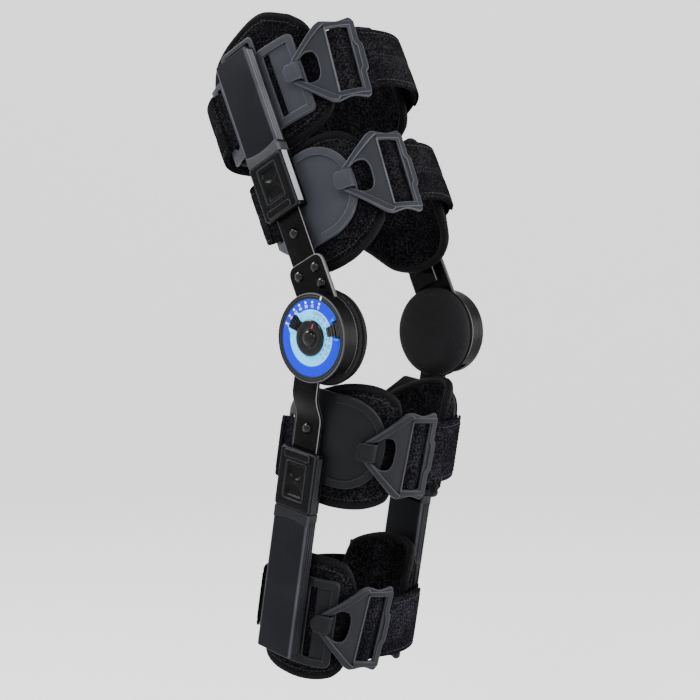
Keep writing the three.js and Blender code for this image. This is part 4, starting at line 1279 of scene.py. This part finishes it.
@dataclass(frozen=True)
class SideFrame:
    """Bar, sleeve, collar, button and rivet of one segment on one side of the leg.

    Attributes:
        segment: Leg segment.
        side: Side of the leg.
        sleeve_width: Width of the sleeve.
        collar_width: Width of the collar and of the sleeve's band.
        back: Inner face of sleeve and collar.
        sleeve_out: Outer face of the sleeve.
        collar_out: Outer face of the collar.
        bore: Width and inner and outer face of the slot that the bar runs in.
        band_high: Height of the sleeve's end band.
    """

    segment: Segment
    side: Side
    sleeve_width: float = 37.0
    collar_width: float = 38.4
    back: float = 64.4
    sleeve_out: float = 76.5
    collar_out: float = 77.3
    bore: tuple[float, float, float] = (27.0, 67.0, 71.2)
    band_high: float = 7.0

    def build(self) -> None:
        """Make the bar, the sleeve and the collar, and on the outer side the button and the rivet."""
        self._bar()
        self._sleeve()
        self._collar()
        if self.side is Side.OUTER:
            self._button()
            seg = self.segment
            rivet = rivet_skin((seg.bar_forward, seg.up * seg.rivet), BAR_OUT + 0.1)
            self._add("bar_rivet_head", rivet, RIVET_BLACK, seg.name, [f"{seg.name}_bar_rivet"], sided=False)

    def _add(self, name: str, skin: Surface, finish: Finish, body: str, stands_for: Sequence[str] = (),
             sided: bool = True) -> None:
        """Make a piece of this frame, named for its side unless only one side has it."""
        start = f"{self.side.value}_{self.segment.name}" if sided else self.segment.name
        add_piece(f"{start}_{name}", skin, self.segment.on_side(self.side), finish, body, stands_for)

    def _span(self, near: float, far: float) -> tuple[float, float]:
        """Places up the leg of a stretch given by its distances from the hinge, the nearer one first."""
        return self.segment.up * near, self.segment.up * far

    def _tube(self, width: float, out: float, near: float, far: float, edge: float) -> Surface:
        """Rectangular tube: rounded outer loops from end to end, drawn in at the ends, then the slot's loops back.

        Args:
            width: Outer width.
            out: Outer face.
            near: Start along the bar.
            far: End along the bar.
            edge: Corner radius.

        Returns:
            The closed skin.
        """
        start, end = self._span(near, far)
        way = np.sign(end - start)
        inset = np.array([0.9, 0.45, 0.12, 0, 0, 0.12, 0.45, 0.9])
        up = np.array([start, start + 0.1 * way, start + 0.45 * way, start + 0.9 * way,
                       end - 0.9 * way, end - 0.45 * way, end - 0.1 * way, end])
        middle = self.segment.bar_forward
        rows = [np.column_stack([p[:, 0] + middle, np.full(len(p), z), p[:, 1] + self.back + d])
                for z, d in zip(up, inset) for p in [band(width - 2 * d, out - self.back - 2 * d, edge - d / 2)]]
        slot = band(self.bore[0], self.bore[2] - self.bore[1], 0.5)
        rows += [np.column_stack([slot[:, 0] + middle, np.full(len(slot), z), slot[:, 1] + self.bore[1]])
                 for z in (end, start)]
        corner = np.zeros((len(rows), 4 * CORNER_POINTS))
        corner[1:7] = CORNER_HIGHLIGHT
        return tube(np.array(rows), closed=True, edge_highlight=corner)

    def _bar(self) -> None:
        """Flat bar with round edges; the calf's one steps in from its hinge head in an S-bend."""
        seg = self.segment
        profile = band(BAR_WIDTH, BAR_OUT - BAR_IN, 0.75)
        d = np.linspace(*seg.bar, 70)
        bend = 1 - eased(d, 45, 68) if seg.up < 0 else np.zeros(len(d))
        out = BAR_IN + (CALF_HEAD_IN - BAR_IN) * bend
        path = np.column_stack([np.full(len(d), seg.bar_forward), seg.up * d, out])
        ahead = directions(path)
        up = np.column_stack([np.zeros(len(d)), -ahead[:, 2], ahead[:, 1]]) * seg.up
        parts = [sweep(path, np.array([1.0, 0, 0]), up, profile, edge_highlight=CORNER_HIGHLIGHT)]
        if seg.up < 0:
            parts.append(plate([circle(32.0, 72), circle(8.4, 24)], CALF_HEAD_IN, CALF_HEAD_OUT, 0.6, 9.0))
        self._add("flat_bar", joined(parts), BAR, seg.name, [f"{self.side.value}_{seg.name}_bar"])

    def _wall_lines(self, near: float, far: float, places: Sequence[float], wide: float, high: float,
                    at: float) -> list[Surface]:
        """Thin ridges along the side walls, one at each place out from the leg.

        Args:
            near: Start along the bar.
            far: End along the bar.
            places: Middle of each ridge, out from the leg's middle plane.
            wide: Width of a ridge.
            high: How far it stands out.
            at: Distance of its foot from the bar's middle line.

        Returns:
            The ridges on both walls.
        """
        start, end = self._span(near, far)
        path_up = np.linspace(start, end, 8)
        profile = band(wide, high, high * 0.45)
        found = []
        for way in (1, -1):
            wall = np.array([way * 1.0, 0, 0])
            for q in places:
                path = np.column_stack([np.full(8, self.segment.bar_forward + way * at), path_up, np.full(8, q)])
                found.append(sweep(path, OUTWARDS, wall, profile, edge_highlight=FULL_HIGHLIGHT))
        return found

    def _sleeve(self) -> None:
        """Box sleeve with three fine lines along each side wall and a lighter arched band at its collar end."""
        seg = self.segment
        near, far = seg.sleeve
        body = f"{seg.name}_end"
        box = self._tube(self.sleeve_width, self.sleeve_out, near + 1.0, far, 2.4)
        self._add("sleeve_box", box, SLEEVE, body, [f"{self.side.value}_{seg.name}_sleeve"])
        lines = self._wall_lines(near + 9, far - 2.5, (74.0, 71.4, 68.9), 1.9, 0.55, self.sleeve_width / 2 - 0.15)
        # Painted light: grey lines on the thigh, where the light falls, dark ones on the calf
        self._add("sleeve_lines", joined(lines), SIDE_GREY if seg.up > 0 else SIDE_DARK, body)
        half, middle = self.collar_width / 2, seg.bar_forward
        x = np.linspace(half - 1.2, 1.2 - half, 24)
        arch = near + self.band_high + 3.0 * (x / half) ** 2
        edge = np.vstack([[(x[-1] + middle, seg.up * near), (x[0] + middle, seg.up * near)],
                          np.column_stack([x + middle, seg.up * arch])])
        face = plate([resampled(edge, 1.2, closed=True)], 73.0, self.collar_out - 0.35, 0.5, 6.0)
        ring = self._tube(self.collar_width, self.collar_out - 0.7, near, near + self.band_high, 2.6)
        # Band lighter than the sleeve, painted lighter still on the thigh, where the light falls, than on the calf
        self._add("sleeve_band", joined([face, ring]), BAND_GREY if seg.up > 0 else BAND_DARK, body)

    def _collar(self) -> None:
        """Collar: a tube, a face with the button's window in a thin rim, a lip and ribbed side walls."""
        seg = self.segment
        near, far = seg.collar
        body = f"{seg.name}_end"
        middle, half = seg.bar_forward, self.collar_width / 2
        parts = [self._tube(self.collar_width, 75.2, near, far, 2.4)]
        low, high = sorted(self._span(near + 0.2, far - 0.2))
        loops = [rectangle((middle - half + 0.5, middle + half - 0.5), (low, high), 3.0)]
        if self.side is Side.OUTER:
            z = seg.up * seg.button
            loops.append(rectangle((middle - 9.9, middle + 9.9), (z - 14.4, z + 14.4), 1.2))
            rim = raised(rectangle((middle - 10.7, middle + 10.7), (z - 15.2, z + 15.2), 1.6), 77.1)
            parts.append(ridge(rim, band(1.0, 0.6, 0.28), closed=True, edge_highlight=FULL_HIGHLIGHT))
        parts.append(plate(loops, 74.0, self.collar_out, 1.3, 5.0))
        lip_low, lip_high = sorted(self._span(near + 0.9, near + 7.6))
        lip = rectangle((middle - 13.8, middle + 13.8), (lip_low, lip_high), 2.8)
        parts.append(plate([lip], 76.4, self.collar_out + 1.8, 1.1, 4.0))
        self._add("collar_body", joined(parts), COLLAR, body, [f"{self.side.value}_{seg.name}_collar"])
        ribs = self._wall_lines(near + 3, far - 0.5, (74.6, 73.1, 71.6, 70.1), 1.15, 0.6, half - 0.12)
        # Painted light: grey ribs on the thigh, where the light falls, black ones on the calf
        self._add("collar_ribs", joined(ribs), RIBBED if seg.up > 0 else COLLAR, body)

    def _button(self) -> None:
        """Push button with two finger scoops, up to a saddle |z| = 0.7 + 5 (x / 8)^2 between them."""
        seg = self.segment
        z, middle = seg.up * seg.button, seg.bar_forward
        def scoop(p: Array) -> Array:
            across, along = p[:, 0] - middle, p[:, 1] - z
            past_saddle = np.abs(along) - 0.7 - 5.0 * (across / 8) ** 2
            rim = (1 - eased(np.abs(along), 11.2, 12.6)) * (1 - eased(np.abs(across), 7.0, 8.4))
            return -1.6 * eased(past_saddle, 0, 2.2) * rim
        outline = rectangle((middle - 9.4, middle + 9.4), (z - 13.9, z + 13.9), 1.2)
        self._add("button_face", plate([outline], 73.2, 76.9, 0.6, 0.9, scoop), COLLAR, f"{seg.name}_push",
                  [f"{seg.name}_button"], sided=False)


def about_hinge(radius: Array | float, degrees: Array | float, out: Array | float = 0.0) -> Array:
    """Points at radii and at angles from forward about the hinge axis, as (along, up, out)."""
    a = np.radians(degrees)
    return np.column_stack(np.broadcast_arrays(radius * np.cos(a), radius * np.sin(a), out))


def rivet_skin(centre: tuple[float, float], seat: float) -> Surface:
    """Domed rivet head on a plate: radius 4.2, height 2.6, with a small shoulder."""
    profile = np.array([[4.25, 0], [4.25, 0.45], [4.0, 0.9], [3.4, 1.55], [2.5, 2.1], [1.4, 2.45], [0.4, 2.6]])
    return dome(profile + (0, seat), 28, centre)


@dataclass(frozen=True)
class Hinge:
    """Hinge of one side: case with tongue, hub, pad and, on the outer side, the two stop dials.

    Attributes:
        side: Side of the leg.
        tick_turn: Photo-side angle of the zero mark, degrees from up towards forward.
        extension_marks: Angles of the extension scale's dots, from 0 upwards.
        flexion_first: Angle of the flexion scale's highest mark.
        flexion_step: Angle between its marks.
        notch: Middle and half width of the extension dial's cut-out, degrees from forward in the thigh's frame.
        tab: The same of the flexion dial's tab.
    """

    side: Side
    tick_turn: float = 19.5
    extension_marks: tuple[float, ...] = (18.6, 3.3, -11.5, -26.0, -39.4, -53.4, -67.3)
    flexion_first: float = 12.5
    flexion_step: float = 15.9
    notch: tuple[float, float] = (-10.0, 15.0)
    tab: tuple[float, float] = (120.0, 18.0)

    def build(self) -> None:
        """Make the hinge's pieces."""
        self._case()
        self._hub()
        self._condyle_pad()
        if self.side is Side.OUTER:
            self._extension_dial()
            self._flexion_dial()
            self._ticks()
            for name, centre in (("rear", (-1, 52)), ("front", (17.5, 52)), ("low", (18.5, 38))):
                self._add(f"tongue_rivet_{name}_head", rivet_skin(centre, 74.7), RIVET_BLACK, "thigh",
                          [f"tongue_rivet_{name}"])
        else:
            self._cap()

    def _add(self, name: str, skin: Surface, finish: Finish, body: str,
             stands_for: Sequence[str] = ()) -> bpy.types.Object:
        """Make a piece on this side of the hinge."""
        return add_piece(name, skin, THIGH.on_side(self.side), finish, body, stands_for)

    def _polar(self, radius: Array | float, world_turn: Array | float) -> Array:
        """Point at a radius and an angle from up towards forward, seen upright, in the thigh's plane."""
        turn = np.radians(np.asarray(world_turn, float) - THIGH.tilt)
        return np.stack(np.broadcast_arrays(radius * np.sin(turn), radius * np.cos(turn)), -1)

    def _sector(self, inner: float, outer: float, middle: float, half: float) -> Array:
        """Outline between two radii, half an angle to each side of a middle one, in degrees from forward."""
        a = np.linspace(middle - half, middle + half, 14)
        edge = np.vstack([about_hinge(outer, a), about_hinge(inner, a[::-1])])
        return resampled(edge[:, :2], 0.7, closed=True)

    def _notched(self, radius: float, floor: float, middle: float, half: float) -> Array:
        """Circle with a cut-out down to a smaller radius."""
        a = np.linspace(middle + half, middle - half + 360, 110)
        b = np.linspace(middle - half, middle + half, 14)
        edge = np.vstack([about_hinge(radius, a), about_hinge(floor, b)])
        return resampled(edge[:, :2], 1.0, closed=True)

    def _case(self) -> None:
        """Case: a turned pan with a stepped rim, a part-turn side wall and the tongue that joins the thigh bar."""
        pan = np.array([[8.5, 79.5], [34.3, 79.5], [35.0, 80.1], [35.0, 84.7], [35.0, 85.3], [34.7, 86.0], [34.1, 86.4],
                        [33.5, 86.4], [33.35, 86.0], [32.9, 86.0], [32.75, 86.4], [31.2, 86.4], [30.6, 86.1],
                        [30.4, 85.6], [30.4, 82.6], [30.1, 82.3], [8.5, 82.3]])
        lit = np.array([0, 0, 0, 0, 0.05, 0.3, 0.45, 0.05, 0, 0, 0.25, 0, 0.3, 0.1, 0, 0, 0])
        wall = np.array([[32.6, 71.3], [34.6, 71.1], [35.0, 71.5], [35.0, 72.1], [35.0, 79.7], [34.6, 80.1],
                         [32.6, 80.1]])
        wall_lit = np.array([0, 0.2, 0.8, 0, 0, 0, 0])
        arc = about_hinge(32.7, np.linspace(109.6, 42.3, 22))[:, :2]
        corners = [(27, 22), (27, 62), (-11, 62), *map(tuple, arc)]
        tongue = rounded(corners, [1.5, 9, 9, 0.8] + [0.3] * 20 + [0.2], 1.2)
        skin = joined([lathe(pan, 96, edge_highlight=lit), lathe(wall, 60, (-75, 105), wall_lit),
                       plate([tongue], 70.8, 74.6, 1.0, 5.0)])
        self._add(f"{self.side.value}_hinge_casing", skin, CASE, "thigh", [f"{self.side.value}_hinge_case"])

    def _hub(self) -> None:
        """Hub: back plate, shaft, front disc and its domed rivet, turned as one."""
        profile = np.array([[29, 70.9], [29, 75.7], [8, 75.9], [8, 86.3], [13.9, 86.3], [14.1, 86.6], [14.1, 87.5],
                            [13.7, 88.0], [13.0, 88.3], [10.0, 88.35], [7.6, 88.3], [6.9, 88.0], [6.5, 88.1],
                            [6.2, 88.8], [5.5, 89.8], [4.3, 90.5], [2.6, 90.95], [0.8, 91.1]])
        self._add(f"{self.side.value}_hinge_axle", dome(profile, 64), HUB, "thigh", [f"{self.side.value}_hinge_hub"])

    def _condyle_pad(self) -> None:
        """Round foam pad behind the hinge: a crowned front, a soft edge with a piped seam, and a flat back."""
        r = np.array([6, 13, 20, 26, 31, 34.5, 36.5, 37, 37, 36.6, 35.6, 33, 26, 18, 9, 3])
        q = np.array([55, 55.1, 55.3, 55.9, 57.2, 59.2, 61.8, 63.6, 66.2, 68.4, 69.8, 70.4, 70.5, 70.5, 70.5, 70.5])
        piece = self._add(f"{self.side.value}_condyle_cushion", dome(np.column_stack([r, q]), 64), CONDYLE, "thigh",
                          [f"{self.side.value}_condyle_pad"])
        self._add(f"{self.side.value}_condyle_piping", lathe(circle(1.1, 10, (36.9, 66.4)), 80), BINDING, "thigh")

    def _extension_dial(self) -> None:
        """Blue ring with a cut-out, curled lips, white dots and figures, and its black spring tab."""
        middle, half = self.notch
        parts = [plate([self._notched(30.0, 24.6, middle, half), circle(22.2, 90)], DIAL_FOOT, DIAL_FACE, 0.35, 4.0)]
        for way in (1, -1):
            path = about_hinge(np.linspace(24.0, 29.6, 9), middle + way * (half + 1.6), np.linspace(85.7, 85.9, 9))
            parts.append(ridge(path, band(2.6, 1.7, 0.8), edge_highlight=FULL_HIGHLIGHT * 0.7, scale=np.linspace(0.55, 1.1, 9)))
        self._add("extension_ring", joined(parts), BLUE, "extension_stop", ["extension_dial"])
        parts = [plate([self._sector(24.9, 30.0, middle, half - 2)], DIAL_FOOT, 85.6, 0.4, 3.0),
                 plate([self._sector(17.4, 25.6, middle, half - 4)], 86.1, 86.5, 0.15, 3.0)]
        for radius, level in ((19.2, 86.3), (22.4, 86.3), (25.2, 86.1), (27.0, 85.4), (28.8, 85.4)):
            path = about_hinge(radius, np.linspace(middle - 10, middle + 10, 10), level)
            parts.append(ridge(path, band(0.8, 0.6, 0.28), edge_highlight=FULL_HIGHLIGHT))
        self._add("extension_spring", joined(parts), RIVET_BLACK, "extension_stop", ["extension_tab"])
        dot = np.array([[0.95, 85.95], [0.9, 86.08], [0.4, 86.12]])
        dots = [dome(dot, 14, tuple(self._polar(27.7, a))) for a in self.extension_marks]
        figures = [self._figure(str(15 * k), 24.5, a, 2.4) for k, a in enumerate(self.extension_marks)]
        self._add("extension_scale", joined(dots + figures), WHITE_INK, "extension_stop")

    def _flexion_dial(self) -> None:
        """Pale ring with red dots and figures, pointed lips and its raised black tab."""
        middle, half = self.tab
        parts = [plate([self._notched(21.9, 15.0, middle, half), circle(8.5, 40)], DIAL_FOOT, DIAL_FACE, 0.35, 4.0)]
        for way in (1, -1):
            near, far = middle + way * (half - 1.5), middle + way * (half + 9)
            corner = about_hinge(np.array([15.2, 24.2, 21.4]), np.array([near, near, far]))[:, :2]
            tilt = lambda p, edge=about_hinge(1.0, near)[0, :2]: 0.5 * eased(p @ edge, 18, 24)
            parts.append(plate([rounded(corner, 0.8, 0.6)], 86.1, 86.6, 0.2, 2.0, tilt))
        self._add("flexion_ring", joined(parts), PALE_BLUE, "flexion_stop", ["flexion_dial"])
        grip = [plate([self._sector(15.3, 23.6, middle, half - 4.5)], 86.2, 88.0, 0.6, 2.0),
                plate([self._sector(15.3, 21.8, middle, half - 2)], DIAL_FOOT, 86.4, 0.3, 3.0)]
        for lean in (-6.5, 0.0, 6.5):
            path = about_hinge(np.linspace(16.6, 22.8, 8), middle + lean, 87.7)
            grip.append(ridge(path, band(1.1, 0.9, 0.4), edge_highlight=FULL_HIGHLIGHT * 0.8))
        self._add("flexion_grip", joined(grip), COLLAR, "flexion_stop", ["flexion_tab"])
        marks = [self.flexion_first + self.flexion_step * k for k in range(9)]
        dot = np.array([[0.75, 85.95], [0.7, 86.06], [0.3, 86.1]])
        dots = [dome(dot, 12, tuple(self._polar(16.2, a))) for a in marks]
        figures = [self._figure(str(120 - 15 * k), 19.4, a, 2.7) for k, a in enumerate(marks)]
        self._add("flexion_scale", joined(dots + figures), CRIMSON_INK, "flexion_stop")

    def _figure(self, text: str, radius: float, turn: float, size: float) -> Surface:
        """Plain figures of a scale, laid flat at a radius and an angle, their feet to the centre.

        Args:
            text: The figures.
            radius: Distance of their middle from the axis.
            turn: Angle from up towards forward.
            size: Height in millimetres.

        Returns:
            Their thin closed skin.
        """
        curve = bpy.data.curves.new("figure", "FONT")
        curve.body, curve.size, curve.extrude = text, size * 1.4, 0.06
        curve.align_x, curve.align_y = "CENTER", "CENTER"
        holder = linked("figure", curve)
        bpy.context.view_layer.update()
        mesh = holder.evaluated_get(bpy.context.evaluated_depsgraph_get()).to_mesh()
        flat = np.empty(len(mesh.vertices) * 3, np.float32)
        mesh.vertices.foreach_get("co", flat)
        mesh.calc_loop_triangles()
        faces = np.empty(len(mesh.loop_triangles) * 3, np.int32)
        mesh.loop_triangles.foreach_get("vertices", faces)
        bpy.data.objects.remove(holder)
        bpy.data.curves.remove(curve)
        p = flat.reshape(-1, 3).astype(float)
        centre = self._polar(radius, turn)
        out = centre / np.linalg.norm(centre)
        right = np.array([out[1], -out[0]])
        spot = centre + p[:, :1] * right + p[:, 1:2] * out
        return Surface(np.column_stack([spot, DIAL_FACE + 0.04 + p[:, 2]]), [faces.reshape(-1, 3)], np.zeros(len(p)))

    def _ticks(self) -> None:
        """White zero mark on the case's rim and red mark on the hub's disc."""
        for name, inner, outer, half, level, turn, finish in (
                ("zero_mark", 30.9, 33.9, 0.62, 86.3, self.tick_turn, WHITE_INK),
                ("hub_mark", 7.9, 11.6, 0.55, 88.2, 22.0, RED_INK)):
            ends = self._polar(np.array([inner, outer]), turn)
            out = (ends[1] - ends[0]) / np.linalg.norm(ends[1] - ends[0])
            side = np.array([-out[1], out[0]]) * half
            shape = rounded([ends[0] - side, ends[1] - side, ends[1] + side, ends[0] + side], 0.25, 0.3)
            self._add(name, plate([shape], level, level + 0.2, 0.06, 2.0), finish, "thigh")

    def _cap(self) -> None:
        """Plain turned cap in the inner case, with two shallow steps."""
        profile = np.array([[8.5, 82.6], [29.6, 82.6], [30.0, 83.0], [30.0, 85.5], [29.5, 86.0], [24.2, 86.0],
                            [23.9, 85.6], [23.2, 85.6], [22.9, 86.0], [8.5, 86.0]])
        lit = np.array([0, 0, 0, 0.05, 0.12, 0.04, 0, 0, 0.04, 0])
        self._add("inner_hinge_cover", lathe(profile, 80, edge_highlight=lit), CASE, "thigh", ["inner_hinge_cap"])


CUFFS = [
    Cuff("thigh_end", Ring(81.0, 62.0, 1.0, THIGH), "thigh_end",
         np.array([(-64, 192, 222), (-54, 176, 240), (-30, 163, 257), (0, 158, 266), (35, 157, 270), (60, 162, 257),
                   (73, 172, 243), (79, 190, 226)], float),
         ShellShape(-46, 57, 171, 240, 171, 240, 5), Hook(40.5, 205, 5), (200, 206, 208),
         SHELL, BUCKLE_GREY, STRAP_PILE, (29, 6, 177, 233), looped=True, sewn_middle=True),
    Cuff("thigh_inner", Ring(61.0, 56.0, 13.0, THIGH), "thigh",
         np.array([(-56, 102, 126), (-46, 88, 139), (-25, 62, 147), (0, 50, 150), (30, 49, 153), (52, 57, 150),
                   (68, 70, 140), (77, 90, 122)], float),
         ShellShape(-44, 55, 70, 145, 88, 147, 34), Hook(38.5, 106, 4), (104, 146, 118),
         SHELL, BUCKLE_GREY, STRAP_PILE, sewn_middle=True),
    Cuff("calf_inner", Ring(53.0, 49.0, -1.5, CALF), "calf",
         np.array([(-56, -114, -90), (-45, -127, -71), (-22, -131, -53), (0, -133, -42), (25, -133, -34),
                   (50, -130, -33), (70, -122, -42), (80, -104, -60)], float),
         ShellShape(-44, 61, -116, -42, -128, -67, 34), Hook(39, -81, 3), (-83, -118, -98),
         SHELL_DARK, BUCKLE_DARK, STRAP_BLUISH),
    Cuff("calf_end", Ring(43.0, 39.0, -8.0, CALF), "calf_end",
         np.array([(-50, -254, -209), (-40, -268, -192), (-20, -276, -183), (0, -279, -178), (25, -279, -177),
                   (48, -275, -181), (61, -264, -197), (66, -246, -216)], float),
         ShellShape(-42, 45, -266, -193, -266, -193, 5), Hook(27, -226, 6), (-234, -232, -229),
         SHELL_DARK, BUCKLE_DARK, STRAP_BLUISH, (24, 6, -259, -200)),
]


@dataclass(frozen=True)
class Studio:
    """Pale surround, soft lights and the camera at the photo's angle.

    Attributes:
        azimuth: Degrees that the camera stands forward of square-on to the leg's outer side.
        elevation: Degrees that it stands above the knee.
        distance: From the target, in metres.
        lens: Focal length in millimetres on a 36 mm sensor.
        aim: How far right and up of the knee's middle it points, in metres.
        floor: Height of the floor in metres.
        glow: Brightness of the surround, the same all over.
    """

    azimuth: float = 41.5
    elevation: float = 3.08
    distance: float = 1.3
    lens: float = 82.6
    aim: tuple[float, float] = (-0.0268, -0.0127)
    floor: float = -0.47
    glow: float = 0.7

    @property
    def axes(self) -> tuple[Vector, Vector, Vector]:
        """The camera's right, up and back directions."""
        az, el = math.radians(self.azimuth), math.radians(self.elevation)
        back = Vector((math.sin(az) * math.cos(el), -math.cos(az) * math.cos(el), math.sin(el)))
        right = Vector((math.cos(az), math.sin(az), 0.0))
        return right, back.cross(right), back

    @property
    def target(self) -> Vector:
        """Point that the camera looks at."""
        right, up, _ = self.axes
        return right * self.aim[0] + up * self.aim[1]

    def build(self) -> None:
        """Make the surround, the lights and the camera."""
        self._surround()
        self._world()
        for name, place, size, power, colour in (
                ("key_light", (1.9, 1.3, 1.6), 1.2, 55.0, (1.0, 0.99, 0.97)),
                ("edge_light", (2.4, 0.2, -0.3), 1.3, 60.0, (1.0, 1.0, 1.0)),
                ("side_light", (-0.7, 1.5, 1.6), 0.5, 24.0, (0.97, 0.985, 1.0)),
                ("spark_light", (-1.4, 1.36, -0.35), 0.7, 44.0, (1.0, 1.0, 1.0)),
                ("top_light", (0.1, 1.9, -0.3), 1.5, 14.0, (1.0, 1.0, 1.0))):
            self._light(name, place, size, power, colour)
        self._camera()

    def _surround(self) -> None:
        """Pale floor that curves up into a round wall; it glows softly and evenly.

        At radius u and turn a: height = floor + 1.5 (1 - sqrt(1 - ((u - 2.5) / 1.5)^2)) beyond 2.5 m, then upright.
        """
        turn = np.linspace(0, 2 * np.pi, 64, endpoint=False)
        bend = np.linspace(0, np.pi / 2, 9)
        radius = np.concatenate([np.linspace(0.05, 2.3, 16), 2.5 + 1.5 * np.sin(bend), [4.0, 4.0]])
        rise = np.concatenate([np.zeros(16), 1.5 * (1 - np.cos(bend)), [2.6, 5.0]])
        points = np.stack([np.outer(radius, np.cos(turn)), np.outer(radius, np.sin(turn)),
                           np.broadcast_to(self.floor + rise[:, None], (len(radius), len(turn)))], -1)
        quads = grid_quads(len(radius), len(turn))
        mesh = bpy.data.meshes.new("surround")
        mesh.from_pydata(points.reshape(-1, 3).tolist(), [], quads.tolist() + [tuple(range(len(turn)))])
        mesh.shade_smooth()
        shader = Shader("pale_surround")
        shader.put(Base_Color=(0.62, 0.62, 0.62), Roughness=0.95, Specular_IOR_Level=0.0,
                   Emission_Color=(1.0, 1.0, 1.0), Emission_Strength=self.glow)
        mesh.materials.append(shader.material)
        linked("surround", mesh)

    def _world(self) -> None:
        """Dim even surroundings above the wall."""
        world = bpy.data.worlds.new("studio")
        world.use_nodes = True
        background = world.node_tree.nodes["Background"].inputs
        background["Color"].default_value = (1.0, 1.0, 1.0, 1.0)
        background["Strength"].default_value = 0.12
        bpy.context.scene.world = world

    def _light(self, name: str, place: tuple[float, float, float], size: float, power: float,
               colour: tuple[float, float, float]) -> None:
        """Square area light.

        Args:
            name: Its name.
            place: Right of the target, above it and towards the camera, in metres.
            size: Side of the square.
            power: Watts.
            colour: Linear colour.
        """
        right, _, back = self.axes
        spot = self.target + right * place[0] + Vector((0, 0, place[1])) + back * place[2]
        data = bpy.data.lights.new(name, "AREA")
        data.energy, data.size, data.color = power, size, colour
        lamp = linked(name, data)
        lamp.location = spot
        lamp.rotation_euler = (spot - self.target).to_track_quat("Z", "Y").to_euler()

    def _camera(self) -> None:
        """Camera at the photo's angle, made the scene's own."""
        back = self.axes[2]
        data = bpy.data.cameras.new("photo_camera")
        data.lens, data.sensor_width, data.clip_start, data.clip_end = self.lens, 36.0, 0.01, 30.0
        camera = linked("photo_camera", data)
        camera.location = self.target + back * self.distance
        camera.rotation_euler = back.to_track_quat("Z", "Y").to_euler()
        bpy.context.scene.camera = camera


def main() -> None:
    """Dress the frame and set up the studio."""
    logging.basicConfig(level=logging.INFO)
    for segment in (THIGH, CALF):
        for side in Side:
            SideFrame(segment, side).build()
    for side in Side:
        Hinge(side).build()
    for cuff in CUFFS:
        cuff.build()
    Studio().build()


if __name__ == "__main__":
    main()
